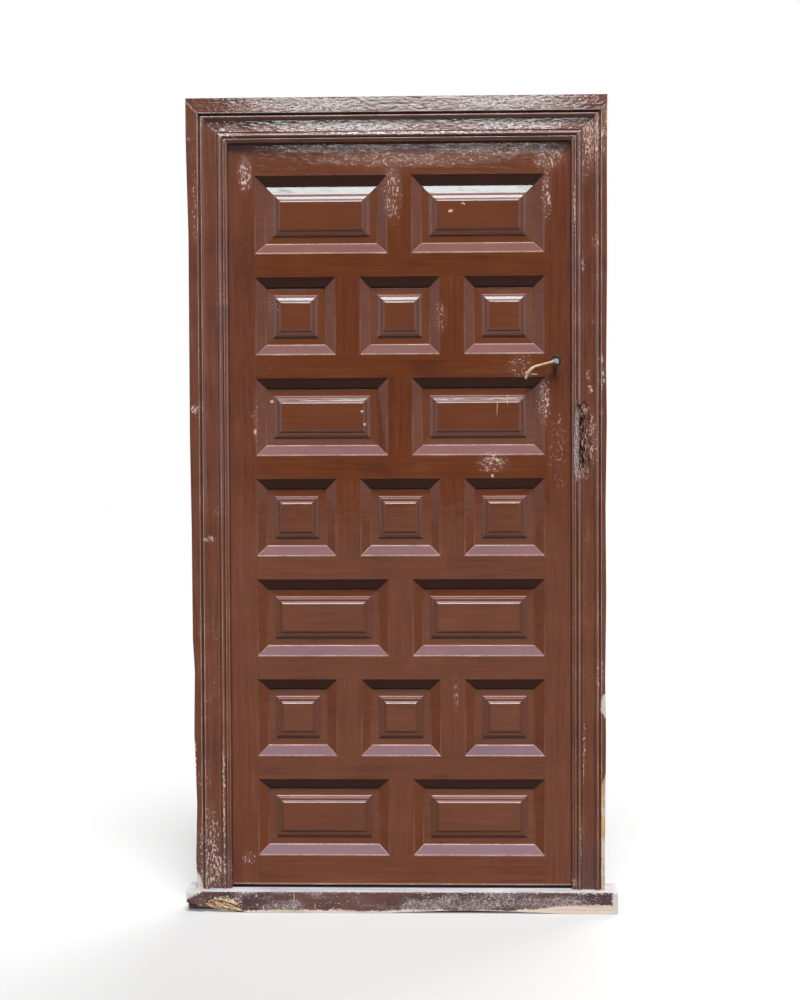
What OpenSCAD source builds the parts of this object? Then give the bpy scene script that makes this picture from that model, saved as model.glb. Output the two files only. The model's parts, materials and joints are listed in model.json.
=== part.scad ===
// Panelled entrance door in its moulded frame, hung on the left and opening inwards.
// Millimetres, +Z up. The street face looks along -Y.
// The origin is the middle of the sill's underside, on the plane where casings and jambs meet.

/* [Leaf] */
// Width of the leaf
leaf_w = 934; // [860:1:1100]
// Thickness of stiles, rails and muntins
leaf_t = 42; // [38:1:60]
// Width of each stile
stile_w = 78; // [74:1:120]
// Height of the rails between two rows
rail_h = 63; // [40:1:100]
// Height of the top rail
top_rail_h = 91; // [60:1:160]
// Height of the bottom rail
bottom_rail_h = 80; // [60:1:220]
// Width of the muntins between two panels
muntin_w = 66; // [40:1:100]
// Height of every panel opening
opening_h = 209; // [170:1:260]

/* [Joinery] */
// Depth from the street face to the panel groove
groove_front = 18; // [12:0.5:20]
// Width of the panel groove, and of the tenons
groove_w = 14; // [10:0.5:16]
// Depth of the panel groove
groove_d = 10; // [6:0.5:14]
// Length of the rail tenons
tenon_l = 46; // [20:1:60]
// Shoulder left above the top tenon and below the bottom one
haunch_h = 20; // [10:1:40]

/* [Panels] */
// Flat margin between bevel strip and raised field
margin_w = 20; // [8:0.5:30]
// Rise of the margin from the bevel to the field's step
margin_rise = 0.8; // [0:0.1:2]
// Height of the first step
step_h = 2; // [1:0.5:5]
// Width of the fillet on top of that step
fillet_w = 2.7; // [1.5:0.1:5]
// Rise of the fillet
fillet_h = 1.2; // [0.5:0.1:2]
// Width of the level ledge behind the fillet
ledge_w = 2; // [1:0.1:4]
// Width of the riser behind the ledge
riser_w = 2.3; // [1:0.1:4]
// Rise of the riser
riser_h = 1.4; // [0.5:0.1:3]
// Width of the gently sloped band behind the riser
slope_w = 6.5; // [3:0.5:10]
// Rise of the sloped band
slope_h = 0.6; // [0.2:0.1:2]
// Width of the round shoulder of the field
shoulder_w = 8; // [4:0.5:10]
// Rise of the round shoulder
shoulder_h = 3.4; // [1:0.1:4]
// Width of the bevel strips
bevel_w = 28; // [16:1:36]
// Thickness of a bevel strip at its thin edge
bevel_edge = 2.5; // [1:0.5:5]
// How far a bevel strip lies below the street face
bevel_set = 0.8; // [0:0.1:2]

/* [Frame] */
// Width of the left casing at the head
left_casing_w = 110; // [98:1:150]
// Width of the left casing at the sill, where its outer edge is cut to the wall
left_foot_w = 94; // [86:1:150]
// Width of the right casing at the head
right_casing_w = 95; // [92:1:150]
// Width of the right casing at the sill
right_foot_w = 88; // [86:1:150]
// Height of the head casing
head_casing_w = 119; // [96:1:160]
// How far the casings reach over the rebate
stop_overlap = 10; // [6:1:20]
// Width of the jambs behind the casings
jamb_w = 76; // [64:1:80]
// Width of the jamb tenons
jamb_tenon_w = 44; // [20:1:60]
// Thickness of the jamb tenons
jamb_tenon_t = 16; // [8:1:24]
// Length of the jamb tenons
jamb_tenon_l = 30; // [10:1:40]
// Radius of the fixing holes through the jambs
fixing_r = 5; // [3:0.5:7]
// Height of the lower fixing holes above the sill
fixing_z = 480; // [420:10:700]
// Spacing of the fixing holes
fixing_pitch = 1120; // [900:10:1200]

/* [Casing profile] */
// Thickness of the outer band
band_t = 26; // [20:0.5:34]
// Thickness of the flat
flat_t = 13; // [10:0.5:16]
// Thickness at the inner edge
lip_t = 7; // [4:0.5:10]
// Width of the inner quarter round
lip_w = 12; // [8:0.5:16]
// Width of the torus bead beside it
bead_w = 13.6; // [10:0.2:18]
// Thickness at the crest of that bead
bead_t = 18.6; // [16:0.2:22]
// Width of the quirks
quirk_w = 2.2; // [1:0.1:3]
// Depth of the quirks
quirk_d = 2.4; // [1:0.1:4]
// Width of the flat
flat_w = 30.4; // [20:0.2:36]
// Width of the uneven half round beside the outer band
ovolo_w = 14.6; // [10:0.2:18]
// Thickness at the crest of that half round
ovolo_t = 22.5; // [18:0.5:25]
// Place of that crest, as a share of the width
ovolo_crest = 0.65; // [0.4:0.05:0.8]
// Width of the groove under the outer band
band_groove_w = 3; // [1.5:0.1:4]

/* [Sill] */
// Height of the sill
sill_h = 60; // [45:1:90]
// Reach of the sill in front of the casings' backs
sill_front = 38; // [30:1:80]
// Reach of the sill behind the jambs
sill_back = 10; // [0:1:60]
// Reach of the sill beyond the wider casing at each end
sill_horn = 12; // [0:1:60]
// Radius of the worn upper front edge
sill_nose_r = 6; // [2:0.5:12]

/* [Hinges] */
// Height of a hinge
hinge_h = 100; // [70:5:140]
// Width of a hinge plate in the wood
hinge_w = 30; // [20:1:34]
// Thickness of a hinge plate
hinge_t = 2.5; // [1.5:0.1:4]
// Radius of the knuckles
knuckle_r = 6; // [5:0.25:8]
// Radius of the pins
pin_r = 3; // [2:0.25:3.5]
// Number of knuckles in a hinge
knuckles = 5; // [3:2:7]
// Height of the lowest hinge above the leaf's foot
hinge_foot = 190; // [150:5:300]
// Depth of the highest hinge below the leaf's top
hinge_top = 160; // [120:5:260]

/* [Lock] */
// Distance from the stile's inner edge to the spindle
handle_inset = 30; // [28:1:40]
// Height of the spindle above the lock rail's lower edge
handle_rise = 41; // [30:1:48]
// Radius of the worn hole round the spindle
handle_hole_r = 12; // [10:0.5:13]
// Reach of the lock case behind the spindle
case_behind = 16; // [15:0.5:17]
// Reach of the lock case below the spindle
case_below = 30; // [20:1:40]
// Reach of the lock case above the spindle
case_above = 44; // [44:1:60]
// Thickness of the lock case
case_t = 16; // [14:0.5:20]
// Wall of the lock case and thickness of its cover
case_wall = 2; // [1:0.25:3]
// Thickness of the forend
forend_t = 3; // [2:0.5:4]
// Width of the forend
forend_w = 22; // [20:1:26]
// Reach of the forend above and below the case
forend_ear = 22; // [12:1:40]
// Height of the latch bolt
latch_h = 16; // [12:0.5:18]
// Length of the latch bolt's head
latch_l = 22; // [18:0.5:26]
// Length of the follower's arm
arm_l = 28; // [26:0.5:29]
// Diameter of the arm's round tip
arm_w = 5; // [4:0.25:6]
// Radius of the follower
follower_r = 9; // [8:0.25:10]
// Height of the strike plate
strike_h = 90; // [60:1:140]
// Thickness of the strike plate
strike_t = 2; // [1.5:0.25:3]
// Depth of the pocket behind the strike plate
pocket_d = 16; // [14:1:30]

/* [Lever] */
// Side of the square spindle
spindle_w = 8; // [6:0.5:9]
// Radius of the spindle's round collar
collar_r = 8.5; // [7:0.25:9.5]
// Reach of the collar in front of the leaf
collar_l = 3; // [1:0.5:6]
// Radius of the levers' necks
neck_r = 6.5; // [6.5:0.25:8]
// Distance from the leaf's face to the middle of the lever
lever_stand = 26; // [22:1:45]
// Length of the lever's straight part
lever_straight = 52; // [30:1:70]
// Radius of the lever's bend
lever_bend_r = 43; // [30:1:60]
// Angle of the lever's bend
lever_bend = 67; // [30:1:90]
// Rise of the straight part when the lever is level
lever_rise = 7; // [0:1:12]
// Radius of the lever at the neck and the tip
lever_thin_r = 3.4; // [2.5:0.1:4.5]
// How much thicker the lever is at its bend
lever_swell = 1.5; // [0:0.1:2.5]
// Angle by which the lever hangs below level
handle_droop = 22; // [16:1:24]

/* [Breaks] */
// Height of the broken-out place in the right casing above the sill
gouge_z = 1212; // [1000:1:1500]
// Thickness of casing left under the splintered surface
gouge_shelf_t = 9; // [6:0.5:11]
// Thickness of casing left in the deep hole
gouge_floor_t = 2; // [1:0.5:5]
// Depth of the break along the casings' lower outer edges
edge_break_d = 6; // [2:0.5:10]
// Depth of the missing corner under the sill's left end
sill_break_d = 34; // [10:1:60]
// Depth of the torn face beside that corner
sill_torn_d = 5; // [2:0.5:10]
// Depth of the worn hollow under the sill's front
sill_hollow_d = 14; // [6:1:20]
// Width of the grid squares on which the broken and wandering outlines are drawn
break_square_w = 1; // [0.8:0.05:1.3]

/* [Clearances] */
// Gap between leaf and jambs, and between leaf and head
edge_gap = 3; // [2.5:0.25:5]
// Gap between leaf and sill
sill_gap = 7; // [3:0.5:15]
// Gap between leaf and the casings' backs
stop_gap = 2; // [1:0.25:4]
// Play of tenons in their mortises
joint_fit = 0.1; // [0.05:0.05:0.3]
// Play of a panel's tongue in its groove, each side
panel_fit = 0.2; // [0.1:0.05:0.5]
// Gap at the mitres of the bevel strips
mitre_gap = 0.3; // [0.1:0.1:1]
// Room for a panel to swell, at the bottom of its groove
panel_room = 2; // [1:0.5:4]
// Running clearance of pins and followers
run_fit = 0.05; // [0.03:0.01:0.1]
// Gap between two knuckles
knuckle_gap = 0.4; // [0.3:0.1:0.8]
// Gap between the knuckles and the wood behind them
knuckle_stand = 0.5; // [0.4:0.1:2]
// Play of the latch bolt in its guides
latch_fit = 0.3; // [0.25:0.05:0.5]
// Play of the latch bolt in the strike plate
strike_fit = 0.8; // [0.5:0.1:1.5]

/* [Hidden] */
$fn = 48;
cut = 1;
rows = 7;
lock_rail = 3;
arc_steps = 6;

paint = "#6e3f2a";
worn_wood = "#8f7a70";
brass = "#d8c7a0";
steel = "#8c8f92";

inner_w = leaf_w - 2 * stile_w;
leaf_h = bottom_rail_h + rows * opening_h + (rows - 1) * rail_h + top_rail_h;
leaf_x = leaf_w / 2;
leaf_z = sill_h + sill_gap;
leaf_top = leaf_z + leaf_h;
leaf_front = stop_gap;
leaf_back = leaf_front + leaf_t;
leaf_mid = leaf_front + leaf_t / 2;
groove_y0 = leaf_front + groove_front;
groove_y1 = groove_y0 + groove_w;

jamb_x = leaf_x + edge_gap;
sight_x = jamb_x - stop_overlap;
frame_x = jamb_x + jamb_w;
head_z = leaf_top + edge_gap;
sight_z = head_z - stop_overlap;
frame_z = sight_z + head_casing_w;
tenon_x = (jamb_x + frame_x - jamb_tenon_w) / 2;

hinge_x = leaf_x + edge_gap / 2;
hinge_y = leaf_back + knuckle_r + knuckle_stand;
hinge_low = leaf_z + hinge_foot;
hinge_high = leaf_top - hinge_top - hinge_h;
hinge_zs = [hinge_low, (hinge_low + hinge_high) / 2, hinge_high];

handle_x = inner_w / 2 + handle_inset;
handle_z = opening_z(lock_rail) + opening_h + handle_rise;
case_x = handle_x - case_behind;
case_y0 = leaf_mid - case_t / 2;
case_y1 = leaf_mid + case_t / 2;
case_z0 = handle_z - case_below;
case_z1 = handle_z + case_above;
forend_x = leaf_x - forend_t;
latch_z = handle_z + arm_l;
latch_t = case_t - 2 * case_wall - 2 * latch_fit;
latch_set = 0.5;
latch_nose = leaf_x - latch_set;
notch_x = handle_x - arm_l * sin(handle_droop / 2);
lever_y = leaf_front - lever_stand;
spindle_out = lever_stand - neck_r;

// Broken outlines in grid squares: across from the casing's inner edge, up from the middle of the break
gouge_shelf = [[8, -92], [6, -20], [9, 60], [12, 100], [24, 96], [34, 106], [46, 92], [50, 56], [45, 22],
    [54, -6], [47, -40], [52, -72], [42, -98], [32, -88], [20, -108]];
gouge_hole = [[17, -78], [23, -62], [20, -30], [24, 4], [20, 34], [26, 70], [31, 84], [37, 62],
    [33, 26], [39, -8], [35, -42], [37, -66], [28, -86]];
// Across from the casing's outer edge, up from the sill
right_break = [[-12, -1], [34, -1], [29, 22], [18, 48], [10, 70], [17, 92], [22, 128], [28, 160],
    [27, 190], [20, 232], [13, 262], [8, 300], [-12, 332]];
left_break = [[-12, -1], [26, -1], [22, 12], [14, 20], [11, 38], [4, 52], [-12, 58]];
// Wander of the casings' outer edges: share of the height, and outward
left_wander = [[0.04, 2], [0.11, -3], [0.2, 2], [0.28, -2], [0.32, 2], [0.46, 0.5], [0.58, 1.5], [0.7, 0],
    [0.83, -3], [0.91, -1], [0.96, 1]];
right_wander = [[0.2, 1.5], [0.27, -1], [0.38, 1], [0.49, -1.5], [0.6, 1], [0.67, -1], [0.8, 0.5],
    [0.93, -1]];
// Across from the sill's left end, up from its underside
sill_corner = [[-1, -1], [-1, 28], [16, 24], [35, 17], [67, 13], [102, 8], [143, -1]];
sill_torn = [[44, -1], [44, 4], [50, 28], [66, 40], [80, 35], [96, 34], [112, 28], [124, 25], [140, 18],
    [152, 9], [158, -1]];
sill_hollow = [[520, -1], [600, 3.5], [700, 7], [780, 8], [870, 6], [960, 2.5], [1010, -1]];

// Odd rows, from the top, hold two wide panels and even rows three square ones
function panels_in(r) = r % 2 == 1 ? 2 : 3;
function opening_w(r) = (inner_w - (panels_in(r) - 1) * muntin_w) / panels_in(r);
function opening_x(r, i) = -inner_w / 2 + i * (opening_w(r) + muntin_w);
function opening_z(r) = leaf_z + bottom_rail_h + (rows - r) * (opening_h + rail_h);
function rail_z(k) = k > rows ? leaf_z : opening_z(k) + opening_h;
function rail_height(k) = k == 1 ? top_rail_h : k > rows ? bottom_rail_h : rail_h;
function tenon_z0(k) = rail_z(k) + (k > rows ? haunch_h : groove_d);
function tenon_z1(k) = rail_z(k) + rail_height(k) - (k == 1 ? haunch_h : groove_d);
function tenon_length(k, side) = side > 0 && k == lock_rail ? groove_d : tenon_l;

function rail_name(k) = k == 1 ? "top_rail" : k > rows ? "bottom_rail" : str("rail_", k);
function side_name(n, i) = i == 0 ? "left" : i == n - 1 ? "right" : "middle";
function panel_name(r, i) = str("panel_", r, "_", side_name(panels_in(r), i));
function muntin_name(r, i) =
    str("muntin_", r, panels_in(r) == 2 ? "" : i == 1 ? "_left" : "_right");

// A quarter of an ellipse from the angle a0 to a1, both ends included
function arc(c, rx, ry, a0, a1) =
    [for (i = [0 : arc_steps]) let (a = a0 + (a1 - a0) * i / arc_steps) c + [rx * cos(a), ry * sin(a)]];

module box(low, high) {
    translate(low) cube(high - low);
}

module on_side(side) {
    mirror([side < 0 ? 1 : 0, 0, 0]) children();
}

// Prisms along the three axes: the outline's own axes are X and Y, X and Z, or Y and Z
module along_z(z0, z1) {
    translate([0, 0, z0]) linear_extrude(z1 - z0) children();
}

module along_y(y0, y1) {
    translate([0, y1, 0]) rotate([90, 0, 0]) linear_extrude(y1 - y0) children();
}

module along_x(x0, x1) {
    translate([x0, 0, 0]) rotate([90, 0, 90]) linear_extrude(x1 - x0) children();
}

module round_bar(x, z, r, y0, y1) {
    translate([x, y1, z]) rotate([90, 0, 0]) cylinder(r = r, h = y1 - y0);
}

// A rail's tenon with its haunch, or with grow the mortise that takes it
module rail_tenon(k, side, grow) {
    x0 = inner_w / 2;
    foot = k > rows ? 0 : groove_d;
    crown = k == 1 ? 0 : groove_d;
    y0 = groove_y0 + joint_fit - grow;
    y1 = groove_y1 - joint_fit + grow;
    on_side(side) {
        box([x0 - cut, y0, tenon_z0(k) - grow],
            [x0 + tenon_length(k, side) - 2 * joint_fit + grow, y1, tenon_z1(k) + grow]);
        box([x0 - cut, y0, rail_z(k) + foot],
            [x0 + groove_d - joint_fit, y1, rail_z(k) + rail_height(k) - crown]);
    }
}

module stile_blank(side) {
    difference() {
        on_side(side) box([inner_w / 2, leaf_front, leaf_z], [leaf_x, leaf_back, leaf_top]);
        on_side(side) box([inner_w / 2 - cut, groove_y0, leaf_z - cut],
            [inner_w / 2 + groove_d, groove_y1, leaf_top + cut]);
        for (k = [1 : rows + 1]) rail_tenon(k, side, joint_fit);
    }
}

module hinge_stile() {
    color(paint) difference() {
        stile_blank(-1);
        for (z = hinge_zs) on_side(-1) box([leaf_x - hinge_t, leaf_back - hinge_w, z],
            [leaf_x + cut, leaf_back + cut, z + hinge_h]);
    }
}

module latch_stile() {
    color(paint) difference() {
        stile_blank(1);
        box([case_x, case_y0, case_z0], [leaf_x + cut, case_y1, case_z1]);
        box([forend_x, leaf_mid - forend_w / 2, case_z0 - forend_ear],
            [leaf_x + cut, leaf_mid + forend_w / 2, case_z1 + forend_ear]);
        round_bar(handle_x, handle_z, handle_hole_r, leaf_front - cut, leaf_back + cut);
    }
}

module rail(k) {
    z0 = rail_z(k);
    z1 = z0 + rail_height(k);
    color(paint) difference() {
        union() {
            box([-inner_w / 2, leaf_front, z0], [inner_w / 2, leaf_back, z1]);
            for (side = [-1, 1]) rail_tenon(k, side, 0);
        }
        if (k <= rows)
            box([-inner_w / 2 - cut, groove_y0, z0 - cut], [inner_w / 2 + cut, groove_y1, z0 + groove_d]);
        if (k > 1)
            box([-inner_w / 2 - cut, groove_y0, z1 - groove_d], [inner_w / 2 + cut, groove_y1, z1 + cut]);
    }
}

module muntin(r, i) {
    x0 = opening_x(r, i) - muntin_w;
    x1 = x0 + muntin_w;
    z0 = opening_z(r);
    z1 = z0 + opening_h;
    stub = groove_d - joint_fit;
    color(paint) difference() {
        union() {
            box([x0, leaf_front, z0], [x1, leaf_back, z1]);
            box([x0 + groove_d, groove_y0 + joint_fit, z0 - stub],
                [x1 - groove_d, groove_y1 - joint_fit, z1 + stub]);
        }
        for (x = [x0 - cut, x1 - groove_d])
            box([x, groove_y0, z0 - cut], [x + groove_d + cut, groove_y1, z1 + cut]);
    }
}

// Section across a raised panel, the same from both edges: tongue, margin, step with its fillet, ledge,
// riser, sloped band and round shoulder
function panel_half() =
    let (tongue = groove_d - panel_room,
        y0 = groove_y0 + panel_fit,
        s0 = bevel_w + margin_w,
        y1 = y0 - margin_rise,
        s2 = s0 + fillet_w,
        y2 = y1 - step_h - fillet_h,
        s3 = s2 + ledge_w,
        s4 = s3 + riser_w,
        y4 = y2 - riser_h,
        s5 = s4 + slope_w,
        y5 = y4 - slope_h,
        shoulder_r = (shoulder_w * shoulder_w + shoulder_h * shoulder_h) / (2 * shoulder_h),
        field = [s5 + shoulder_w, y5 - shoulder_h + shoulder_r])
    concat([[-tongue, y0], [bevel_w, y0], [s0, y1], [s0, y1 - step_h], [s2, y2], [s3, y2], [s4, y4]],
        arc(field, shoulder_r, shoulder_r, 270 - asin(shoulder_w / shoulder_r), 270));

function panel_section(span) =
    let (half = panel_half(),
        tongue = groove_d - panel_room,
        y1 = groove_y1 - panel_fit)
    concat([[-tongue, y1]], half,
        [for (i = [len(half) - 1 : -1 : 0]) [span - half[i][0], half[i][1]]],
        [[span + tongue, y1]]);

// The field is raised where both sections are, so its mouldings meet in mitres
module panel(r, i) {
    w = opening_w(r);
    tongue = groove_d - panel_room;
    color(paint) translate([opening_x(r, i), 0, opening_z(r)]) intersection() {
        along_z(-tongue, opening_h + tongue) polygon(panel_section(w));
        along_x(-tongue, w + tongue) polygon([for (p = panel_section(opening_h)) [p[1], p[0]]]);
    }
}

// A mitred strip that slopes from the street face down to the panel
module bevel_strip(length) {
    thin = leaf_front + groove_front - bevel_edge;
    back_off = mitre_gap / sqrt(2);
    intersection() {
        along_x(0, length)
            polygon([[leaf_front + bevel_set, 0], [groove_y0, 0], [groove_y0, bevel_w], [thin, bevel_w]]);
        along_y(leaf_front - cut, groove_y0 + cut)
            polygon([[back_off, 0], [length - back_off, 0],
                [length - bevel_w - back_off, bevel_w], [bevel_w + back_off, bevel_w]]);
    }
}

module bevel_frame(w, h) {
    corners = [[0, 0], [w, 0], [w, h], [0, h]];
    for (i = [0 : 3]) translate([corners[i][0], 0, corners[i][1]]) rotate([0, -90 * i, 0])
        bevel_strip(i % 2 == 0 ? w : h);
}

module bevels(n) {
    color(paint) for (r = [1 : rows]) if (panels_in(r) == n) for (i = [0 : n - 1])
        translate([opening_x(r, i), 0, opening_z(r)]) bevel_frame(opening_w(r), opening_h);
}

// All of a list but its first
function rest_of(list) = [for (i = [1 : len(list) - 1]) list[i]];

// A half round from u0 to u1, on the thickness t0 and with its crest t1 thick
function half_round(u0, u1, crest, t0, t1) =
    concat(arc([crest, t0], crest - u0, t1 - t0, 180, 90),
        rest_of(arc([crest, t0], u1 - crest, t1 - t0, 90, 0)));

// Section of a casing: across from its inner edge, and forward from its back
function casing_section(w) =
    let (bead_u = lip_w + quirk_w,
        bead_end = bead_u + bead_w,
        flat_u = bead_end + quirk_w,
        ovolo_u = flat_u + flat_w,
        ovolo_end = ovolo_u + ovolo_w,
        band_u = ovolo_end + band_groove_w,
        quirk_t = flat_t - quirk_d,
        fillet_t = flat_t + quirk_w / 2)
    concat([[0, 0]],
        arc([lip_w, lip_t], lip_w, bead_t - quirk_w - lip_t, 180, 90),
        [[lip_w, quirk_t], [bead_u, quirk_t]],
        half_round(bead_u, bead_end, bead_u + bead_w / 2, flat_t, bead_t),
        [[bead_end, quirk_t], [flat_u, quirk_t], [flat_u, flat_t], [ovolo_u, flat_t]],
        half_round(ovolo_u, ovolo_end, ovolo_u + ovolo_w * ovolo_crest, fillet_t, ovolo_t),
        [[band_u, fillet_t], [band_u, band_t], [w, band_t], [w, 0]]);

// Where a side casing's mitre comes out at its outer edge
function casing_corner(w) = [sight_x + w, sight_z + min(w, head_casing_w)];

// Points of a side casing's outer edge between sill and mitre
function outer_edge(w, foot_w, wander) =
    [for (p = wander) [sight_x + foot_w + (w - foot_w) * p[0] + break_square_w * p[1],
        sill_h + (casing_corner(w)[1] - sill_h) * p[0]]];

// The outer edge wanders from the sill to the mitre, as it was cut to the wall by hand
module side_casing(w, foot_w, wander) {
    intersection() {
        along_z(sill_h, frame_z) polygon([for (p = casing_section(max(w, foot_w))) [sight_x + p[0], -p[1]]]);
        along_y(-band_t - cut, cut) polygon(concat([[sight_x, sill_h], [sight_x + foot_w, sill_h]],
            outer_edge(w, foot_w, wander), [casing_corner(w), [sight_x, sight_z]]));
    }
}

module left_casing() {
    color(paint) difference() {
        on_side(-1) side_casing(left_casing_w, left_foot_w, left_wander);
        translate([-sight_x - left_foot_w, 0, sill_h])
            along_y(-band_t - cut, edge_break_d - band_t) polygon(break_square_w * left_break);
    }
}

module right_casing() {
    color(paint) difference() {
        side_casing(right_casing_w, right_foot_w, right_wander);
        translate([sight_x, 0, sill_h + gouge_z]) {
            along_y(-band_t - cut, -gouge_shelf_t) polygon(break_square_w * gouge_shelf);
            along_y(-band_t - cut, -gouge_floor_t) polygon(break_square_w * gouge_hole);
        }
        translate([sight_x + right_foot_w, 0, sill_h]) along_y(-band_t - cut, edge_break_d - band_t)
            polygon([for (p = right_break) break_square_w * [-p[0], p[1]]]);
    }
}

module head_casing() {
    left = casing_corner(left_casing_w);
    right = casing_corner(right_casing_w);
    color(paint) intersection() {
        along_x(-left[0], right[0])
            polygon([for (p = casing_section(head_casing_w)) [-p[1], sight_z + p[0]]]);
        along_y(-band_t - cut, cut) polygon([[-sight_x, sight_z], [sight_x, sight_z], right,
            [right[0], frame_z], [-left[0], frame_z], [-left[0], left[1]]]);
    }
}

// The tenons of both jambs at one end, or with grow the mortises that take them
module jamb_tenon(side, z0, z1, grow) {
    on_side(side) box([tenon_x - grow, (leaf_back - jamb_tenon_t) / 2 - grow, z0 - grow],
        [tenon_x + jamb_tenon_w + grow, (leaf_back + jamb_tenon_t) / 2 + grow, z1 + grow]);
}

module jamb_blank(side) {
    difference() {
        union() {
            on_side(side) box([jamb_x, 0, sill_h], [frame_x, leaf_back, head_z]);
            jamb_tenon(side, sill_h - jamb_tenon_l, head_z + jamb_tenon_l, 0);
        }
        for (z = [fixing_z, fixing_z + fixing_pitch]) on_side(side)
            translate([jamb_x - cut, leaf_mid, sill_h + z]) rotate([0, 90, 0])
                cylinder(r = fixing_r, h = frame_x - jamb_x + 2 * cut);
    }
}

module left_jamb() {
    color(paint) difference() {
        jamb_blank(-1);
        for (z = hinge_zs) on_side(-1) box([jamb_x - cut, leaf_back - hinge_w, z],
            [jamb_x + hinge_t, leaf_back + cut, z + hinge_h]);
    }
}

// The latch's window in the strike plate, or the pocket behind it
module strike_window(x1) {
    box([jamb_x - cut, leaf_mid - latch_t / 2 - strike_fit, latch_z - latch_h / 2 - strike_fit],
        [x1, leaf_mid + latch_t / 2 + strike_fit, latch_z + latch_h / 2 + strike_fit]);
}

module strike_blank(x0) {
    box([x0, leaf_mid - forend_w / 2, latch_z - strike_h / 2],
        [jamb_x + strike_t, leaf_mid + forend_w / 2, latch_z + strike_h / 2]);
}

module right_jamb() {
    color(paint) difference() {
        jamb_blank(1);
        strike_blank(jamb_x - cut);
        strike_window(jamb_x + pocket_d);
    }
}

module strike_plate() {
    color(steel) difference() {
        strike_blank(jamb_x);
        strike_window(jamb_x + strike_t + cut);
    }
}

module head_jamb() {
    color(paint) difference() {
        box([-frame_x, 0, head_z], [frame_x, leaf_back, frame_z]);
        for (side = [-1, 1]) jamb_tenon(side, head_z - cut, head_z + jamb_tenon_l, joint_fit);
    }
}

module sill() {
    end = sight_x + max(left_casing_w, right_casing_w) + sill_horn;
    color(worn_wood) difference() {
        along_x(-end, end) polygon(concat(
            arc([sill_nose_r - sill_front, sill_h - sill_nose_r], sill_nose_r, sill_nose_r, 180, 90),
            [[leaf_back + sill_back, sill_h], [leaf_back + sill_back, 0], [-sill_front, 0]]));
        for (side = [-1, 1]) jamb_tenon(side, sill_h - jamb_tenon_l, sill_h + cut, joint_fit);
        translate([-end, 0, 0]) {
            along_y(-sill_front - cut, sill_break_d - sill_front) polygon(break_square_w * sill_corner);
            along_y(-sill_front - cut, sill_torn_d - sill_front) polygon(break_square_w * sill_torn);
            along_y(-sill_front - cut, sill_hollow_d - sill_front) polygon(break_square_w * sill_hollow);
        }
    }
}

// The knuckles of one plate: the jamb has the odd ones, the leaf the even ones
module hinge_knuckles(z, first, x0, x1) {
    pitch = hinge_h / knuckles;
    for (i = [first : 2 : knuckles - 1]) {
        low = z + i * pitch + (i == 0 ? 0 : knuckle_gap / 2);
        high = z + (i + 1) * pitch - (i == knuckles - 1 ? 0 : knuckle_gap / 2);
        translate([hinge_x, hinge_y, low]) cylinder(r = knuckle_r, h = high - low);
        box([x0, leaf_back - cut, low], [x1, hinge_y, high]);
    }
}

module hinge_plate(z, first, x0, x1) {
    on_side(-1) difference() {
        union() {
            box([x0, leaf_back - hinge_w, z], [x1, leaf_back, z + hinge_h]);
            hinge_knuckles(z, first, x0, x1);
        }
        translate([hinge_x, hinge_y, z - cut]) cylinder(r = pin_r + run_fit, h = hinge_h + 2 * cut);
    }
}

module hinge_jamb_plates() {
    color(steel) for (z = hinge_zs) hinge_plate(z, 0, jamb_x, jamb_x + hinge_t);
}

module hinge_leaf_plates() {
    color(steel) for (z = hinge_zs) hinge_plate(z, 1, leaf_x - hinge_t, leaf_x);
}

// A pin hangs by its round head on the top knuckle
module hinge_pins() {
    head_r = (pin_r + knuckle_r) / 2;
    color(steel) for (z = hinge_zs) translate([-hinge_x, hinge_y, z]) {
        cylinder(r = pin_r, h = hinge_h + pin_r);
        translate([0, 0, hinge_h]) rotate_extrude()
            polygon(concat([[0, 0], [head_r, 0]], arc([0, pin_r / 2], head_r, pin_r / 2, 0, 90)));
    }
}

module case_outline(y0, y1) {
    box([case_x, y0, case_z0], [forend_x, y1, case_z1]);
}

module follower_bearing() {
    round_bar(handle_x, handle_z, follower_r + run_fit, case_y0 - cut, case_y1 + cut);
}

module lock_case() {
    color(steel) difference() {
        case_outline(case_y0 + case_wall, case_y1);
        box([case_x + case_wall, case_y0, case_z0 + case_wall],
            [forend_x + cut, case_y1 - case_wall, case_z1 - case_wall]);
        follower_bearing();
    }
}

module lock_cover() {
    color(steel) difference() {
        case_outline(case_y0, case_y0 + case_wall);
        follower_bearing();
    }
}

module lock_forend() {
    color(steel) difference() {
        box([forend_x, leaf_mid - forend_w / 2, case_z0 - forend_ear],
            [leaf_x, leaf_mid + forend_w / 2, case_z1 + forend_ear]);
        box([forend_x - cut, leaf_mid - latch_t / 2 - latch_fit, latch_z - latch_h / 2 - latch_fit],
            [leaf_x + cut, leaf_mid + latch_t / 2 + latch_fit, latch_z + latch_h / 2 + latch_fit]);
    }
}

module spindle_bar(y0, y1, play) {
    half = spindle_w / 2 + play;
    translate([handle_x, 0, handle_z]) rotate([0, -handle_droop, 0])
        box([-half, y0, -half], [half, y1, half]);
}

// The follower leans back with the drooping lever, its arm in the latch bolt's notch
module follower() {
    shank_w = arm_w * 0.64;
    arm_y0 = case_y0 + case_wall + latch_fit;
    arm_y1 = case_y1 - case_wall - latch_fit;
    color(steel) difference() {
        union() {
            round_bar(handle_x, handle_z, follower_r, case_y0, case_y1);
            translate([handle_x, 0, handle_z]) rotate([0, -handle_droop / 2, 0]) {
                box([-shank_w / 2, arm_y0, 0], [shank_w / 2, arm_y1, arm_l]);
                round_bar(0, arm_l, arm_w / 2, arm_y0, arm_y1);
            }
        }
        spindle_bar(case_y0 - cut, case_y1 + cut, joint_fit);
    }
}

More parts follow.
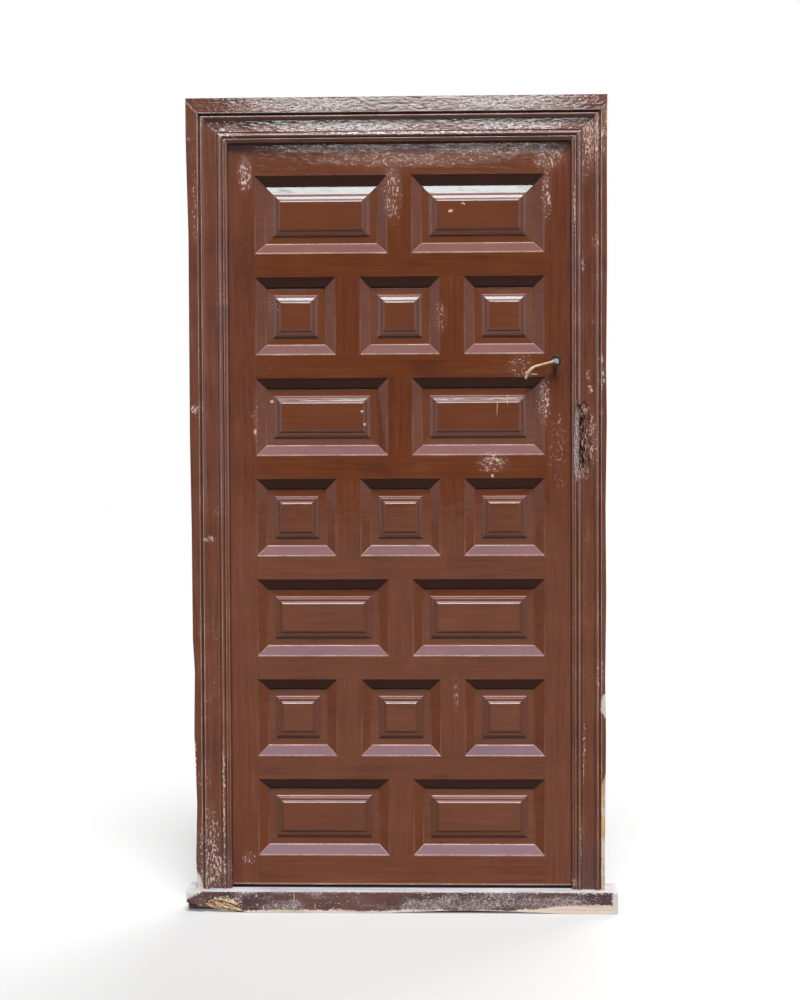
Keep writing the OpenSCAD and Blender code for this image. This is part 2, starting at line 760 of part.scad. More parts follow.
// Drawn back: its nose lies just inside the forend, its tail is notched for the follower's arm
module latch_bolt() {
    y0 = leaf_mid - latch_t / 2;
    y1 = leaf_mid + latch_t / 2;
    back = latch_nose - latch_l;
    notch = arm_w / 2 + latch_fit;
    tail_x = notch_x - arm_w - notch / 2;
    color(steel) difference() {
        union() {
            along_z(latch_z - latch_h / 2, latch_z + latch_h / 2)
                polygon([[back, y0], [latch_nose - latch_t, y0], [latch_nose, y1 - 2 * latch_set],
                    [latch_nose, y1], [back, y1]]);
            box([tail_x, y0, latch_z - arm_w], [back + cut, y1, latch_z + latch_h / 2]);
        }
        box([notch_x - notch, y0 - cut, latch_z - arm_w - cut],
            [notch_x + notch, y1 + cut, latch_z + arm_w / 2 + latch_fit]);
    }
}

module spindle() {
    color(steel) {
        spindle_bar(leaf_front - spindle_out, leaf_back + spindle_out, 0);
        round_bar(handle_x, handle_z, collar_r, leaf_front - collar_l, leaf_front + collar_r);
    }
}

// Middle line of a level lever: a rising straight, then a bend that turns the tip down
function lever_path() =
    let (a = lever_rise,
        knee = lever_straight * [-cos(a), sin(a)],
        centre = knee - lever_bend_r * [sin(a), cos(a)],
        rings = 14)
    concat([[0, 0], knee / 3, knee * 2 / 3],
        [for (i = [0 : rings]) let (b = 90 - a + lever_bend * i / rings)
            centre + lever_bend_r * [cos(b), sin(b)]]);

function lever_radius(t) = (lever_thin_r + lever_swell * sin(180 * pow(t, 1.6))) * (t < 1 ? 1 : 0.6);

// A round section carried along the path in the plane of the leaf
module lever_arm(y) {
    path = lever_path();
    last = len(path) - 1;
    sides = 16;
    points = [for (i = [0 : last]) let (
            ahead = path[min(i + 1, last)] - path[max(i - 1, 0)],
            across = [-ahead[1], ahead[0]] / norm(ahead),
            r = lever_radius(i / last))
        for (j = [0 : sides - 1]) let (a = 360 * j / sides)
            [path[i][0] + r * cos(a) * across[0], y + r * sin(a), path[i][1] + r * cos(a) * across[1]]];
    walls = [for (i = [0 : last - 1]) for (j = [0 : sides - 1]) let (k = (j + 1) % sides)
        [i * sides + j, i * sides + k, (i + 1) * sides + k, (i + 1) * sides + j]];
    ends = [[for (j = [sides - 1 : -1 : 0]) j], [for (j = [0 : sides - 1]) last * sides + j]];
    polyhedron(points, concat(walls, ends));
}

module lever(y, neck_y0, neck_y1) {
    color(brass) difference() {
        union() {
            round_bar(handle_x, handle_z, neck_r, neck_y0, neck_y1);
            translate([handle_x, 0, handle_z]) rotate([0, -handle_droop, 0]) lever_arm(y);
        }
        spindle_bar(leaf_front - spindle_out, leaf_back + spindle_out, joint_fit);
    }
}

module outer_lever() {
    lever(lever_y, lever_y - neck_r / 2, leaf_front - collar_l);
}

module inner_lever() {
    lever(leaf_back + lever_stand, leaf_back - collar_l, leaf_back + lever_stand + neck_r / 2);
}

sill();
left_jamb();
right_jamb();
head_jamb();
left_casing();
right_casing();
head_casing();
hinge_stile();
latch_stile();
for (k = [1 : rows + 1]) rail(k);
for (r = [1 : rows], i = [1 : panels_in(r) - 1]) muntin(r, i);
for (r = [1 : rows], i = [0 : panels_in(r) - 1]) panel(r, i);
bevels(2);  // wide_bevels
bevels(3);  // square_bevels
hinge_jamb_plates();
hinge_leaf_plates();
hinge_pins();
lock_case();
lock_cover();
lock_forend();
follower();
latch_bolt();
strike_plate();
spindle();
outer_lever();
inner_lever();
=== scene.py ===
import json
import math
import random

import bmesh
import bpy
from bpy.props import FloatProperty, FloatVectorProperty, PointerProperty
from bpy.types import Operator, Panel, PropertyGroup
from mathutils import Matrix, Vector


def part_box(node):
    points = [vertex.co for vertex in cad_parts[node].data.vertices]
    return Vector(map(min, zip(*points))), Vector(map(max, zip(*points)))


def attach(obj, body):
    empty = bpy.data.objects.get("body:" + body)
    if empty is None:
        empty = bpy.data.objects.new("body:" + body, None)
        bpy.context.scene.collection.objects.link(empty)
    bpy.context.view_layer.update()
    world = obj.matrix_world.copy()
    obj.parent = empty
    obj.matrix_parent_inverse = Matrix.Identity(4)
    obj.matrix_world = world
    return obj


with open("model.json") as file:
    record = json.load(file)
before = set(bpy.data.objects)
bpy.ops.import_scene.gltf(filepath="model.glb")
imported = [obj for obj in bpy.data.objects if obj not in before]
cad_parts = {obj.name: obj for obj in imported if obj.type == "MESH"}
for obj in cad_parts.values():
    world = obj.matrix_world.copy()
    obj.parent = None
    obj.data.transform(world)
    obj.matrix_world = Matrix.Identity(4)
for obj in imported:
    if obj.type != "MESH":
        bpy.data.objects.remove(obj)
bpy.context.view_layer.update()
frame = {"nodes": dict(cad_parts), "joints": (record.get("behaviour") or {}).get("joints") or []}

bl_info = {
    "name": "Old panelled front door",
    "version": (1, 0, 0),
    "blender": (4, 5, 0),
    "location": "3D View > Sidebar > Door",
    "description": "Paint, wear, ironwork and studio for a panelled front door in its moulded frame",
    "category": "Object",
}

NODES = frame["nodes"]
ROWS = 7


def colour(name, description, default):
    """A colour that the sidebar shows."""
    return FloatVectorProperty(
        name=name, description=description, default=default, subtype="COLOR", size=3, min=0.0, max=1.0
    )


def length(name, description, default):
    """A length in metres that the sidebar shows."""
    return FloatProperty(
        name=name, description=description, default=default, unit="LENGTH", min=0.0, precision=5
    )


def fraction(name, description, default):
    """A fraction from 0 to 1 that the sidebar shows."""
    return FloatProperty(
        name=name, description=description, default=default, subtype="FACTOR", min=0.0, max=1.0
    )


def amount(name, description, default):
    """A number from nought upwards that the sidebar shows."""
    return FloatProperty(name=name, description=description, default=default, min=0.0)


class DoorFinishes(PropertyGroup):
    """Colours and gloss of the door's paint, bare wood and metal."""

    paint: colour("Paint", "Brown gloss paint", (0.154, 0.041, 0.0135))
    # Also the painted shade on the fields' upright mouldings
    dark_paint_and_shade: colour("Thick paint", "Paint where it lies thick or is dirty", (0.088, 0.023, 0.009))
    paint_thin: colour("Thin paint", "Paint rubbed thin over its undercoat", (0.20, 0.070, 0.036))
    undercoat: colour("Undercoat", "Pale coat that chips and scratches show", (0.62, 0.45, 0.38))
    bare_wood: colour("Bare wood", "Freshly broken softwood", (0.66, 0.43, 0.21))
    lime: colour("Lime", "Dried limewash and dust", (0.70, 0.66, 0.62))
    brass: colour("Brass", "Pale worn brass of the levers", (0.58, 0.43, 0.27))
    steel: colour("Steel", "Grey steel of spindle, hinges and lock", (0.34, 0.33, 0.31))
    gloss: fraction("Paint roughness", "Roughness of sound paint", 0.05)
    # Dirt in cracks and open mitres, the dark disc round the spindle, and painted shade in the casing's
    # grooves and round the leaf's openings
    grime_and_shade: colour("Grime", "Dirt in grooves", (0.022, 0.010, 0.007))
    peel: amount("Orange peel", "Height of the paint's fine unevenness in mm", 0.10)
    shine: fraction("Paint shine", "Strength of the paint's reflections", 0.3)


class DoorSizes(PropertyGroup):
    """Small sizes that the solids leave to the finish."""

    arris: length("Arris", "Rounding of painted edges", 0.0012)
    screw_head: length("Screw head", "Radius of the screw heads", 0.0036)


class DoorStudio(PropertyGroup):
    """Camera, lamps and floor."""

    camera_place: FloatVectorProperty(
        name="Camera", description="Where the camera stands", default=(0.1153, -4.2004, 1.2356),
        subtype="TRANSLATION", unit="LENGTH", size=3
    )
    camera_turn: FloatVectorProperty(
        name="Camera turn", description="Yaw to the right, pitch down and roll of the camera",
        default=tuple(math.radians(a) for a in (-1.582, 1.657, -0.235)),
        subtype="EULER", unit="ROTATION", size=3
    )
    lens: amount("Lens", "Focal length in mm on a 36 mm long side", 56.06)
    floor: colour("Floor", "Pale floor", (0.42, 0.42, 0.42))
    key: amount("Key lamp", "Strength of the high soft lamp in front", 4.9)
    back: amount("Back lamp", "Strength of the soft lamp behind", 2.2)
    fill: amount("Fill", "Even light from all round", 0.10)
    sky: amount("Sky panel", "Brightness of the panel that gloss paint mirrors", 31.0)


class Shade:
    """Colours of wear, dirt, painted shade and studio that one finish alone needs."""

    scuffed = (0.25, 0.11, 0.080)
    # Painted shade on the upper bevels, which face down
    shaded_upper_bevel = (0.040, 0.010, 0.005)
    # Lilac film on the lower bevels: partly dust, partly a painted reflection of the sky
    lilac_dust_and_sheen = (0.20, 0.17, 0.27)
    # Pale flecks on the head casing: partly undercoat, partly painted glints
    head_fleck_and_glint = (0.74, 0.68, 0.68)
    damp_paint = (0.085, 0.045, 0.045)
    dark_fibre = (0.40, 0.24, 0.13)
    # The gouge: its grey strip, the torn wood, and the rift: dark wood with painted shadow in the hole
    strip_dark = (0.13, 0.075, 0.062)
    strip_pale = (0.34, 0.26, 0.26)
    torn_brown = (0.19, 0.085, 0.055)
    torn_black = (0.035, 0.015, 0.011)
    rift_brown = (0.100, 0.042, 0.028)
    # Painted shadow deep in the gouge's hole
    rift_shadow = (0.008, 0.004, 0.003)
    casing_splinter = (0.80, 0.57, 0.46)
    casing_splinter_dark = (0.20, 0.10, 0.07)
    # The sill: paint, rubbed places, bare foot, torn end, trodden top, and painted shadow in the break and
    # under the leaf
    sill_red = (0.105, 0.046, 0.038)
    sill_black = (0.045, 0.020, 0.019)
    sill_grey = (0.15, 0.105, 0.105)
    sill_rubbed = (0.30, 0.24, 0.24)
    sill_scored = (0.68, 0.57, 0.52)
    foot_pale = (0.84, 0.70, 0.60)
    foot_brown = (0.62, 0.47, 0.36)
    torn_sill = (0.62, 0.43, 0.25)
    torn_sill_dark = (0.16, 0.09, 0.055)
    torn_rim = (0.80, 0.62, 0.42)
    # Painted shadow deep in the sill's broken end
    hollow_shadow = (0.035, 0.022, 0.015)
    sill_splinter = (0.92, 0.76, 0.52)
    sill_splinter_dark = (0.66, 0.45, 0.27)
    trodden_dark = (0.31, 0.30, 0.315)
    trodden_pale = (0.46, 0.45, 0.46)
    # Painted shadow on the sill under the leaf
    shadow_under_leaf = (0.014, 0.012, 0.012)
    brass_stain = (0.20, 0.12, 0.06)
    rust = (0.09, 0.05, 0.03)
    floor_bounce = (0.10, 0.09, 0.08)
    street = (0.019, 0.030, 0.050)
    beside_near = (0.026, 0.030, 0.035)
    beside_far = (0.070, 0.078, 0.091)


class Value:
    """A socket in a node tree. Arithmetic on it adds Math nodes."""

    def __init__(self, finish, socket):
        self.finish = finish
        self.socket = socket

    def math(self, operation, *rest):
        return self.finish.node("ShaderNodeMath", {"operation": operation}, dict(enumerate((self, *rest))))

    def reflected(self, operation, first):
        return self.finish.node("ShaderNodeMath", {"operation": operation}, {0: first, 1: self})

    def __add__(self, other):
        return self.math("ADD", other)

    __radd__ = __add__

    def __sub__(self, other):
        return self.math("SUBTRACT", other)

    def __rsub__(self, other):
        return self.reflected("SUBTRACT", other)

    def __mul__(self, other):
        return self.math("MULTIPLY", other)

    __rmul__ = __mul__

    def __truediv__(self, other):
        return self.math("DIVIDE", other)

    def __rtruediv__(self, other):
        return self.reflected("DIVIDE", other)

    def most(self, other):
        return self.math("MAXIMUM", other)

    def least(self, other):
        return self.math("MINIMUM", other)

    def ramp(self, low, high, to_low=0.0, to_high=1.0):
        """Smooth step from low to high."""
        return self.finish.node(
            "ShaderNodeMapRange", {"interpolation_type": "SMOOTHSTEP"},
            {0: self, 1: low, 2: high, 3: to_low, 4: to_high},
        )

    def vector(self, operation, other=None):
        out = 1 if operation == "LENGTH" else 0
        return self.finish.node("ShaderNodeVectorMath", {"operation": operation}, {0: self, 1: other}, out)


class Finish:
    """One node tree. node() adds a node, and the other methods are short ways to common ones."""

    def __init__(self, name, tree=None):
        if tree is None:
            self.material = bpy.data.materials.new(name)
            self.material.use_nodes = True
            tree = self.material.node_tree
        self.tree = tree
        tree.nodes.clear()

    def node(self, kind, settings=None, sockets=None, out=0):
        made = self.tree.nodes.new(kind)
        for key, value in (settings or {}).items():
            if key == "stops":
                ramp = made.color_ramp
                while len(ramp.elements) < len(value):
                    ramp.elements.new(1.0)
                for element, (position, shade) in zip(ramp.elements, value):
                    element.position = position
                    element.color = (*shade, 1.0)
            else:
                setattr(made, key, value)
        for key, value in (sockets or {}).items():
            if isinstance(value, Value):
                self.tree.links.new(value.socket, made.inputs[key])
            elif value is not None:
                made.inputs[key].default_value = value
        return Value(self, made.outputs[out]) if len(made.outputs) else None

    def place(self):
        """Where a point of the piece lies, in the door's own frame."""
        return self.node("ShaderNodeTexCoord", out=3)

    def ray(self, kind):
        """1 for rays of one kind: Camera, Glossy or Transmission."""
        return self.node("ShaderNodeLightPath", out=f"Is {kind} Ray")

    def parts(self, vector):
        """The three numbers of a vector."""
        first = self.node("ShaderNodeSeparateXYZ", None, {0: vector})
        return [Value(self, out) for out in first.socket.node.outputs]

    def noise(self, at, scale, detail=2.0, rough=0.5, stretch=(1.0, 1.0, 1.0), out=0):
        if stretch != (1.0, 1.0, 1.0):
            at = at.vector("MULTIPLY", stretch)
        sockets = {"Vector": at, "Scale": scale, "Detail": detail, "Roughness": rough}
        return self.node("ShaderNodeTexNoise", None, sockets, out)

    def mix(self, first, second, factor):
        first, second = ((*c, 1.0) if isinstance(c, tuple) else c for c in (first, second))
        return self.node("ShaderNodeMix", {"data_type": "RGBA"}, {0: factor, 6: first, 7: second}, 2)

    def patch(self, at, spot):
        """1 at the middle of an upright oval spot, falling to 0 at its rim."""
        x, z, rx, rz = spot
        offset = at.vector("SUBTRACT", (x, 0.0, z))
        return (1.0 - offset.vector("MULTIPLY", (1.0 / rx, 0.0, 1.0 / rz)).vector("LENGTH")).most(0.0)

    def patches(self, at, spots):
        total = None
        for *spot, strength in spots:
            one = self.patch(at, spot).ramp(0.0, 0.8) * strength
            total = one if total is None else total.most(one)
        return total

    def line(self, distance, width):
        """1 where distance is nought, falling to 0 at width on either side."""
        return distance.math("ABSOLUTE").ramp(width, width * 0.3)

    def close(self, shade, rough, height=None, metal=0.0, specular=0.5):
        normal = None
        if height is not None:
            normal = self.node("ShaderNodeBump", None, {"Strength": 1.0, "Distance": 0.001, "Height": height})
        if isinstance(shade, tuple):
            shade = (*shade, 1.0)
        body = self.node(
            "ShaderNodeBsdfPrincipled", None,
            {"Base Color": shade, "Roughness": rough, "Metallic": metal, "Specular IOR Level": specular,
             "Normal": normal},
        )
        self.node("ShaderNodeOutputMaterial", None, {0: body})
        return self.material


# Stretch of brushed streaks and of flakes along the grain
ALONG = {"x": (0.06, 1.0, 1.0), "z": (1.0, 1.0, 0.06)}
FLECK = {"x": (0.45, 1.0, 1.0), "z": (1.0, 1.0, 0.45)}
LEVER = next(joint for joint in frame["joints"] if joint["name"] == "lever_turn")
HANDLE = (LEVER["pos_m"][0], LEVER["pos_m"][2])


class Layout:
    """Sizes of the door, taken from its solids or, where no box shows them, written again."""

    first_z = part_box("bottom_rail")[1][2]
    opening_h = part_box("rail_7")[0][2] - first_z
    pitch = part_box("rail_6")[0][2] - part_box("rail_7")[0][2]
    inner_x = -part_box("hinge_stile")[1][0]
    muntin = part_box("muntin_1")[1][0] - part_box("muntin_1")[0][0]
    face_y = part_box("hinge_stile")[0][1]
    sight_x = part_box("right_casing")[0][0]
    sight_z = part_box("head_casing")[0][2]
    leaf_edge = -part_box("hinge_stile")[0][0]
    jamb_face = -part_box("left_jamb")[1][0]
    back_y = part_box("hinge_stile")[1][1]
    hinge_h = 0.100
    hinge_foot, hinge_top = (corner[2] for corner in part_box("hinge_jamb_plates"))
    hinge_feet = (hinge_foot, (hinge_foot + hinge_top) / 2 - hinge_h / 2, hinge_top - hinge_h)
    # Width of the planted bevels
    bevel = 0.028
    # Arrises, ledge and inner end of the raised fields' mouldings, from the opening's edge
    field = (0.0484, 0.0552, 0.0620)
    ledge = 0.0517
    field_end = 0.0695
    # Soft edges of the casings' broken outer edge: across from the inner edge, and in depth
    broken_edge = (0.0785, 0.0795)
    broken_y = (-0.0252, -0.0242)
    # Wear of the street side ends between these depths
    street_y = (face_y + 0.024, face_y + 0.018)


class Gouge:
    """The broken-out place in the right casing. A pair is the two ends of a soft edge: up from the
    middle, across from the casing's inner edge, or in depth."""

    middle_z = 1.272
    half_z = (0.113, 0.109)
    near = (0.005, 0.006)
    far = (0.056, 0.055)
    shelf_y = (-0.0122, -0.0108)
    grey_strip = (0.019, 0.023)
    # Depths of the rift, which painted shadow darkens
    rift_y = (-0.0085, -0.006)


class Sill:
    """Places on the sill, each as the two ends of a soft edge."""

    lip_z = (0.048, 0.058)
    rubbed_end_x = (0.3, 0.5)
    bare_foot_x = (0.27, 0.46)
    street_y = (-0.012, -0.020)
    break_x = (-0.405, -0.415)
    break_y = (-0.0372, -0.0358)
    break_z = (0.050, 0.046)
    hollow_y = (-0.0325, -0.030)
    top_z = (0.056, 0.058)
    # Depths at which painted shadow lies on the sill under the leaf
    leaf_front_y = (-0.0035, -0.0005)
    leaf_back_y = (0.048, 0.042)
    # Middle x and z, half width and half height of the torn end's pale rim
    torn_end = (-0.485, 0.024, 0.070, 0.028)


def openings(f, at):
    """Distance from the nearest opening's edge, below nought inside it; from its mitres; and which
    places lie in the lower half of an opening and by its lower edge."""
    lay = Layout
    stray = 0.03
    x, _, z = f.parts(at)
    x = x.most(-lay.inner_x - stray).least(lay.inner_x + stray)
    top = lay.first_z + (ROWS - 1) * lay.pitch + lay.opening_h
    z = z.most(lay.first_z - stray).least(top + stray)
    row = ((z - (lay.first_z - stray)) / lay.pitch).math("FLOOR")
    rise = (z - (lay.first_z - stray)).math("FLOORED_MODULO", lay.pitch) - (stray + lay.opening_h / 2)
    dz = rise.math("ABSOLUTE") - lay.opening_h / 2
    sides = []
    for count in (2, 3):
        width = (2 * lay.inner_x - (count - 1) * lay.muntin) / count
        across = (x + (lay.inner_x + stray)).math("FLOORED_MODULO", width + lay.muntin)
        sides.append((across - (stray + width / 2)).math("ABSOLUTE") - width / 2)
    dx = sides[0] + (sides[1] - sides[0]) * row.math("FLOORED_MODULO", 2.0)
    half = rise.ramp(0.03, -0.03)
    return dx.most(dz), dx - dz, half, half * (dz - dx).ramp(-0.003, 0.003)


def leaf_edges_and_highlights(f, at):
    """Arrises of rails, stiles and muntins round the openings, and the leaf's lower edge: rubbed paint, made
    stronger along the openings' lower edges as a painted highlight.
    """
    gap, _, half, lower = openings(f, at)
    _, _, z = f.parts(at)
    foot = f.line(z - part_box("bottom_rail")[0][2], 0.006)
    return (f.line(gap, 0.0022) * (0.06 + half * 0.14 + lower * 0.6)).most(foot)


def bevel_edges_and_highlights(f, at):
    """Outer and inner arrises and mitres of the planted bevels: rubbed paint, strongest along the foot, where
    the pale lines are partly a painted highlight.
    """
    gap, mitre, half, lower = openings(f, at)
    sides = f.line(gap, 0.0034).most(f.line(gap + Layout.bevel, 0.0034))
    return (sides * (0.06 + half * 0.14 + lower * 0.62)).most(f.line(mitre, 0.0022) * (0.05 + half * 0.85))


def panel_edges_and_highlights(f, at):
    """Arrises of the mouldings round the raised fields: rubbed paint, and pale lines that are partly a
    painted highlight, strongest on the upper mouldings.
    """
    gap, mitre, half, _ = openings(f, at)
    total = None
    for mark in Layout.field:
        one = f.line(gap + mark, 0.0012)
        total = one if total is None else total.most(one)
    upper = (1.0 - half) * (mitre * -1.0).ramp(-0.003, 0.003)
    return total * (0.12 + upper * 0.7)


def under_bevels(f, t, coat):
    """Painted shade on the upper bevels, painted shadow lines at the foot of the upper bevels, at the fields'
    steps and ledge and under their lower mouldings, and a lilac film on the lower bevels that is partly dust
    and partly a painted reflection of the sky.
    """
    look = bpy.context.scene.door_finishes
    gap, mitre, half, lower = openings(f, t.at)
    upper = (1.0 - half) * (mitre * -1.0).ramp(-0.003, 0.003)
    # Painted shade on the upper bevels, which face down
    coat.lay(upper * (gap + Layout.bevel).ramp(-0.002, 0.002) * 0.6, Shade.shaded_upper_bevel, 0.3)
    # Lilac film on the lower bevels, stronger towards the bottom: partly dust, partly a painted reflection of
    # the sky
    dust = lower * (gap + Layout.bevel).ramp(-0.002, 0.0) * t.z.ramp(2.1, 0.2, 0.04, 0.22)
    coat.lay(dust * (1.0 - coat.worn), Shade.lilac_dust_and_sheen, 0.12)
    # Painted shadow lines at the foot of the upper bevels, at the fields' steps, under their lower mouldings
    # and in their ledge
    dark = f.line(gap + Layout.bevel, 0.0040) * upper * t.z.ramp(1.9, 1.8)
    step = f.line(gap + Layout.field[0] - 0.0010, 0.0014) * (1.0 - upper) * 0.7
    foot = f.line(gap + Layout.field[0] + 0.0014, 0.0042) * lower * 0.85
    ledge = f.line(gap + Layout.ledge, 0.0014) * 0.5
    coat.lay(dark.most(step).most(foot).most(ledge), tuple(look.grime_and_shade), 0.9)


def panel_wear(f, t, coat):
    """Paint faded on the upper panels, painted shade on their upright mouldings, and the painted shade and
    lilac film that under_bevels lays round them.
    """
    look = bpy.context.scene.door_finishes
    coat.lay(t.z.ramp(0.95, 1.4) * 0.3 * (1.0 - coat.worn), tuple(look.paint_thin), look.gloss)
    gap, mitre, _, _ = openings(f, t.at)
    moulding = (gap + Layout.field_end).ramp(0.0, 0.0015) * (gap + Layout.field[0]).ramp(0.0015, 0.0)
    # Painted shade on the fields' upright mouldings, which face sideways
    upright = moulding * mitre.ramp(-0.002, 0.002)
    coat.lay(upright * (1.0 - coat.worn) * 0.6, tuple(look.dark_paint_and_shade), 0.25)
    under_bevels(f, t, coat)


def across_casing(f, at, axis):
    """Distance across a casing from its inner edge: side casings by X, the head by Z."""
    x, _, z = f.parts(at)
    return x.math("ABSOLUTE") - Layout.sight_x if axis == "X" else z - Layout.sight_z


# Crests across the casing's moulding: distance from its inner edge, half width, strength
CRESTS = (
    (0.0035, 0.0013, 0.4), (0.0115, 0.0016, 0.8), (0.0210, 0.0020, 0.6),
    (0.0305, 0.0013, 0.3), (0.0610, 0.0013, 0.4), (0.0698, 0.0018, 0.8), (0.0788, 0.0018, 0.9),
)
# Grooves darkened with painted shade: distance from the inner edge and half width
GROOVES = ((0.0131, 0.0014), (0.0289, 0.0014), (0.0765, 0.0020))


def casing_edges(axis):
    """Crests of the casing's moulding and the sides of its mitres."""

    def edges(f, at):
        across = across_casing(f, at, axis)
        other = across_casing(f, at, "Z" if axis == "X" else "X")
        total = f.line((across - other).math("ABSOLUTE") - 0.0018, 0.0014) * 0.9
        for mark, width, strength in CRESTS:
            total = total.most(f.line(across - mark, width) * strength)
        return total

    return edges


# Rubbed, chipped, scratched and bare places: middle x and z, half width and half height, and in most
# lists a strength. On the head and along the top rail the scuff patches also set pale flecks that are partly
# painted glints
LEAF_SCUFFS = (
    (-0.415, 1.991, 0.030, 0.075, 0.9),
    (-0.019, 1.940, 0.040, 0.120, 0.7),
    (0.250, 2.055, 0.260, 0.030, 0.8),
    (-0.150, 2.060, 0.330, 0.020, 0.8),
    (0.020, 2.030, 0.420, 0.034, 0.55),
    (0.400, 2.030, 0.060, 0.050, 0.8),
    (0.395, 1.930, 0.020, 0.100, 0.8),
    (0.323, 1.470, 0.060, 0.060, 0.5),
    (0.388, 1.380, 0.026, 0.100, 0.85),
    (0.428, 1.250, 0.045, 0.190, 0.32),
    (0.248, 1.216, 0.065, 0.045, 0.7),
    (0.110, 1.610, 0.025, 0.070, 0.6),
    (-0.417, 0.139, 0.030, 0.030, 0.6),
    (-0.392, 1.330, 0.012, 0.100, 0.7),
    (-0.345, 1.640, 0.030, 0.060, 0.4),
    (0.150, 0.580, 0.012, 0.090, 0.5),
)
LEAF_CHIPS = (
    (0.139, 1.892, 0.009, 0.006),
    (0.172, 1.911, 0.006, 0.004),
    (0.229, 1.243, 0.010, 0.004),
    (0.252, 1.234, 0.009, 0.004),
    (0.262, 1.222, 0.006, 0.006),
    (0.248, 1.179, 0.006, 0.006),
    (-0.390, 1.300, 0.006, 0.008),
    (-0.378, 0.795, 0.006, 0.009),
    (-0.103, 1.353, 0.006, 0.005),
    (-0.096, 1.319, 0.004, 0.005),
    (-0.347, 1.381, 0.006, 0.004),
)
LEAF_SCRATCHES = (
    (0.362, 1.4515, 0.013, 0.0022),
    (0.290, 1.383, 0.0012, 0.020),
    (0.262, 1.360, 0.0012, 0.030),
)
CASING_SCUFFS = (
    (-0.520, 0.170, 0.050, 0.170, 0.75),
    (-0.530, 0.370, 0.030, 0.120, 0.35),
    (-0.481, 0.300, 0.006, 0.250, 1.0),
    (-0.550, 1.360, 0.022, 0.018, 1.0),
    (-0.515, 1.010, 0.025, 0.014, 1.0),
    (-0.545, 1.900, 0.020, 0.160, 0.4),
    (0.520, 2.085, 0.055, 0.130, 0.95),
    (0.495, 2.020, 0.030, 0.100, 0.5),
    (0.468, 1.900, 0.005, 0.120, 0.9),
    (0.490, 1.740, 0.006, 0.040, 1.0),
    (0.525, 1.800, 0.020, 0.030, 0.7),
    (0.540, 1.440, 0.015, 0.060, 0.8),
    (0.510, 1.410, 0.012, 0.020, 1.0),
    (0.493, 1.176, 0.022, 0.014, 1.0),
    (0.515, 1.270, 0.020, 0.120, 0.8),
    (0.500, 1.357, 0.016, 0.014, 1.1),
    (0.514, 1.320, 0.018, 0.040, 0.8),
    (0.494, 1.176, 0.020, 0.014, 1.1),
    (0.505, 1.447, 0.012, 0.024, 0.9),
    (0.539, 1.487, 0.010, 0.020, 1.0),
    (0.539, 1.348, 0.008, 0.014, 1.0),
    (-0.510, 0.110, 0.075, 0.090, 0.9),
    (0.493, 0.420, 0.005, 0.140, 0.9),
    (0.486, 0.190, 0.008, 0.120, 0.7),
    (0.535, 0.640, 0.018, 0.090, 0.7),
    (0.468, 0.080, 0.020, 0.020, 0.9),
)
# On the head the flecks that these patches set are partly painted glints
HEAD_SCUFFS_AND_GLINTS = (
    (-0.250, 2.170, 0.260, 0.030, 0.8),
    (0.280, 2.170, 0.330, 0.030, 0.8),
    (-0.140, 2.112, 0.360, 0.024, 1.1),
    (0.310, 2.112, 0.240, 0.024, 1.1),
    (0.030, 2.098, 0.480, 0.012, 1.05),
    (-0.455, 2.100, 0.060, 0.030, 0.7),
)
HEAD_CHIPS = (
    (-0.519, 2.130, 0.008, 0.005),
    (-0.499, 2.104, 0.010, 0.005),
    (-0.472, 2.109, 0.010, 0.004),
    (-0.478, 2.093, 0.012, 0.006),
)
HEAD_CRACKS = ((-0.505, 2.1175, 0.011, 0.0030), (-0.488, 2.1110, 0.011, 0.0030))
SILL_SCRATCHES = (
    (-0.290, 0.046, 0.0016, 0.014, 1.0),
    (-0.233, 0.018, 0.0016, 0.014, 1.0),
    (-0.440, 0.034, 0.0016, 0.012, 0.8),
    (-0.393, 0.046, 0.004, 0.004, 1.0),
    (-0.390, 0.022, 0.003, 0.004, 1.0),
    (-0.374, 0.014, 0.0025, 0.006, 1.0),
    (0.110, 0.040, 0.0016, 0.012, 0.8),
    (0.300, 0.030, 0.014, 0.0016, 0.8),
    (0.420, 0.042, 0.010, 0.002, 0.9),
)
BARE_EDGES = (
    (0.552, 0.560, 0.022, 0.045, 1.0),
    (-0.566, 0.400, 0.016, 0.130, 1.0),
    (-0.572, 0.760, 0.010, 0.140, 1.0),
    (-0.574, 1.380, 0.012, 0.060, 1.0),
    (0.558, 2.130, 0.010, 0.060, 0.9),
)


def handle_hole(f, t, coat):
    """A dark disc round the hole of the spindle."""
    look = bpy.context.scene.door_finishes
    rim = f.patch(t.nudged, (HANDLE[0] + 0.0015, HANDLE[1] + 0.002, 0.030, 0.030))
    coat.lay(rim.ramp(0.4, 0.5), tuple(look.grime_and_shade), 0.8)


class Texture:
    """Noises that the layers of one finish share."""

    def __init__(self, f, grain):
        self.at = f.place()
        self.x, self.y, self.z = f.parts(self.at)
        self.streak = f.noise(self.at, 110.0, 3.0, 0.6, ALONG[grain])
        self.peel = f.noise(self.at, 150.0, 2.0, 0.5, FLECK[grain])
        self.wave = f.noise(self.at, 34.0, 1.0)
        self.mottle = f.noise(self.at, 6.0, 3.0, 0.55)
        self.flake = f.noise(self.at, 320.0, 4.0, 0.65, FLECK[grain])
        self.chip = f.noise(self.at, 255.0, 5.0, 0.7, FLECK[grain])
        self.drift = f.noise(self.at, 13.0, 3.0, 0.6)
        warp = f.noise(self.at, 120.0, 3.0, 0.6, out=1).vector("SUBTRACT", (0.5, 0.5, 0.5))
        self.moved = self.at.vector("ADD", warp.vector("MULTIPLY", (0.012, 0.012, 0.012)))
        self.nudged = self.at.vector("ADD", warp.vector("MULTIPLY", (0.005, 0.005, 0.005)))


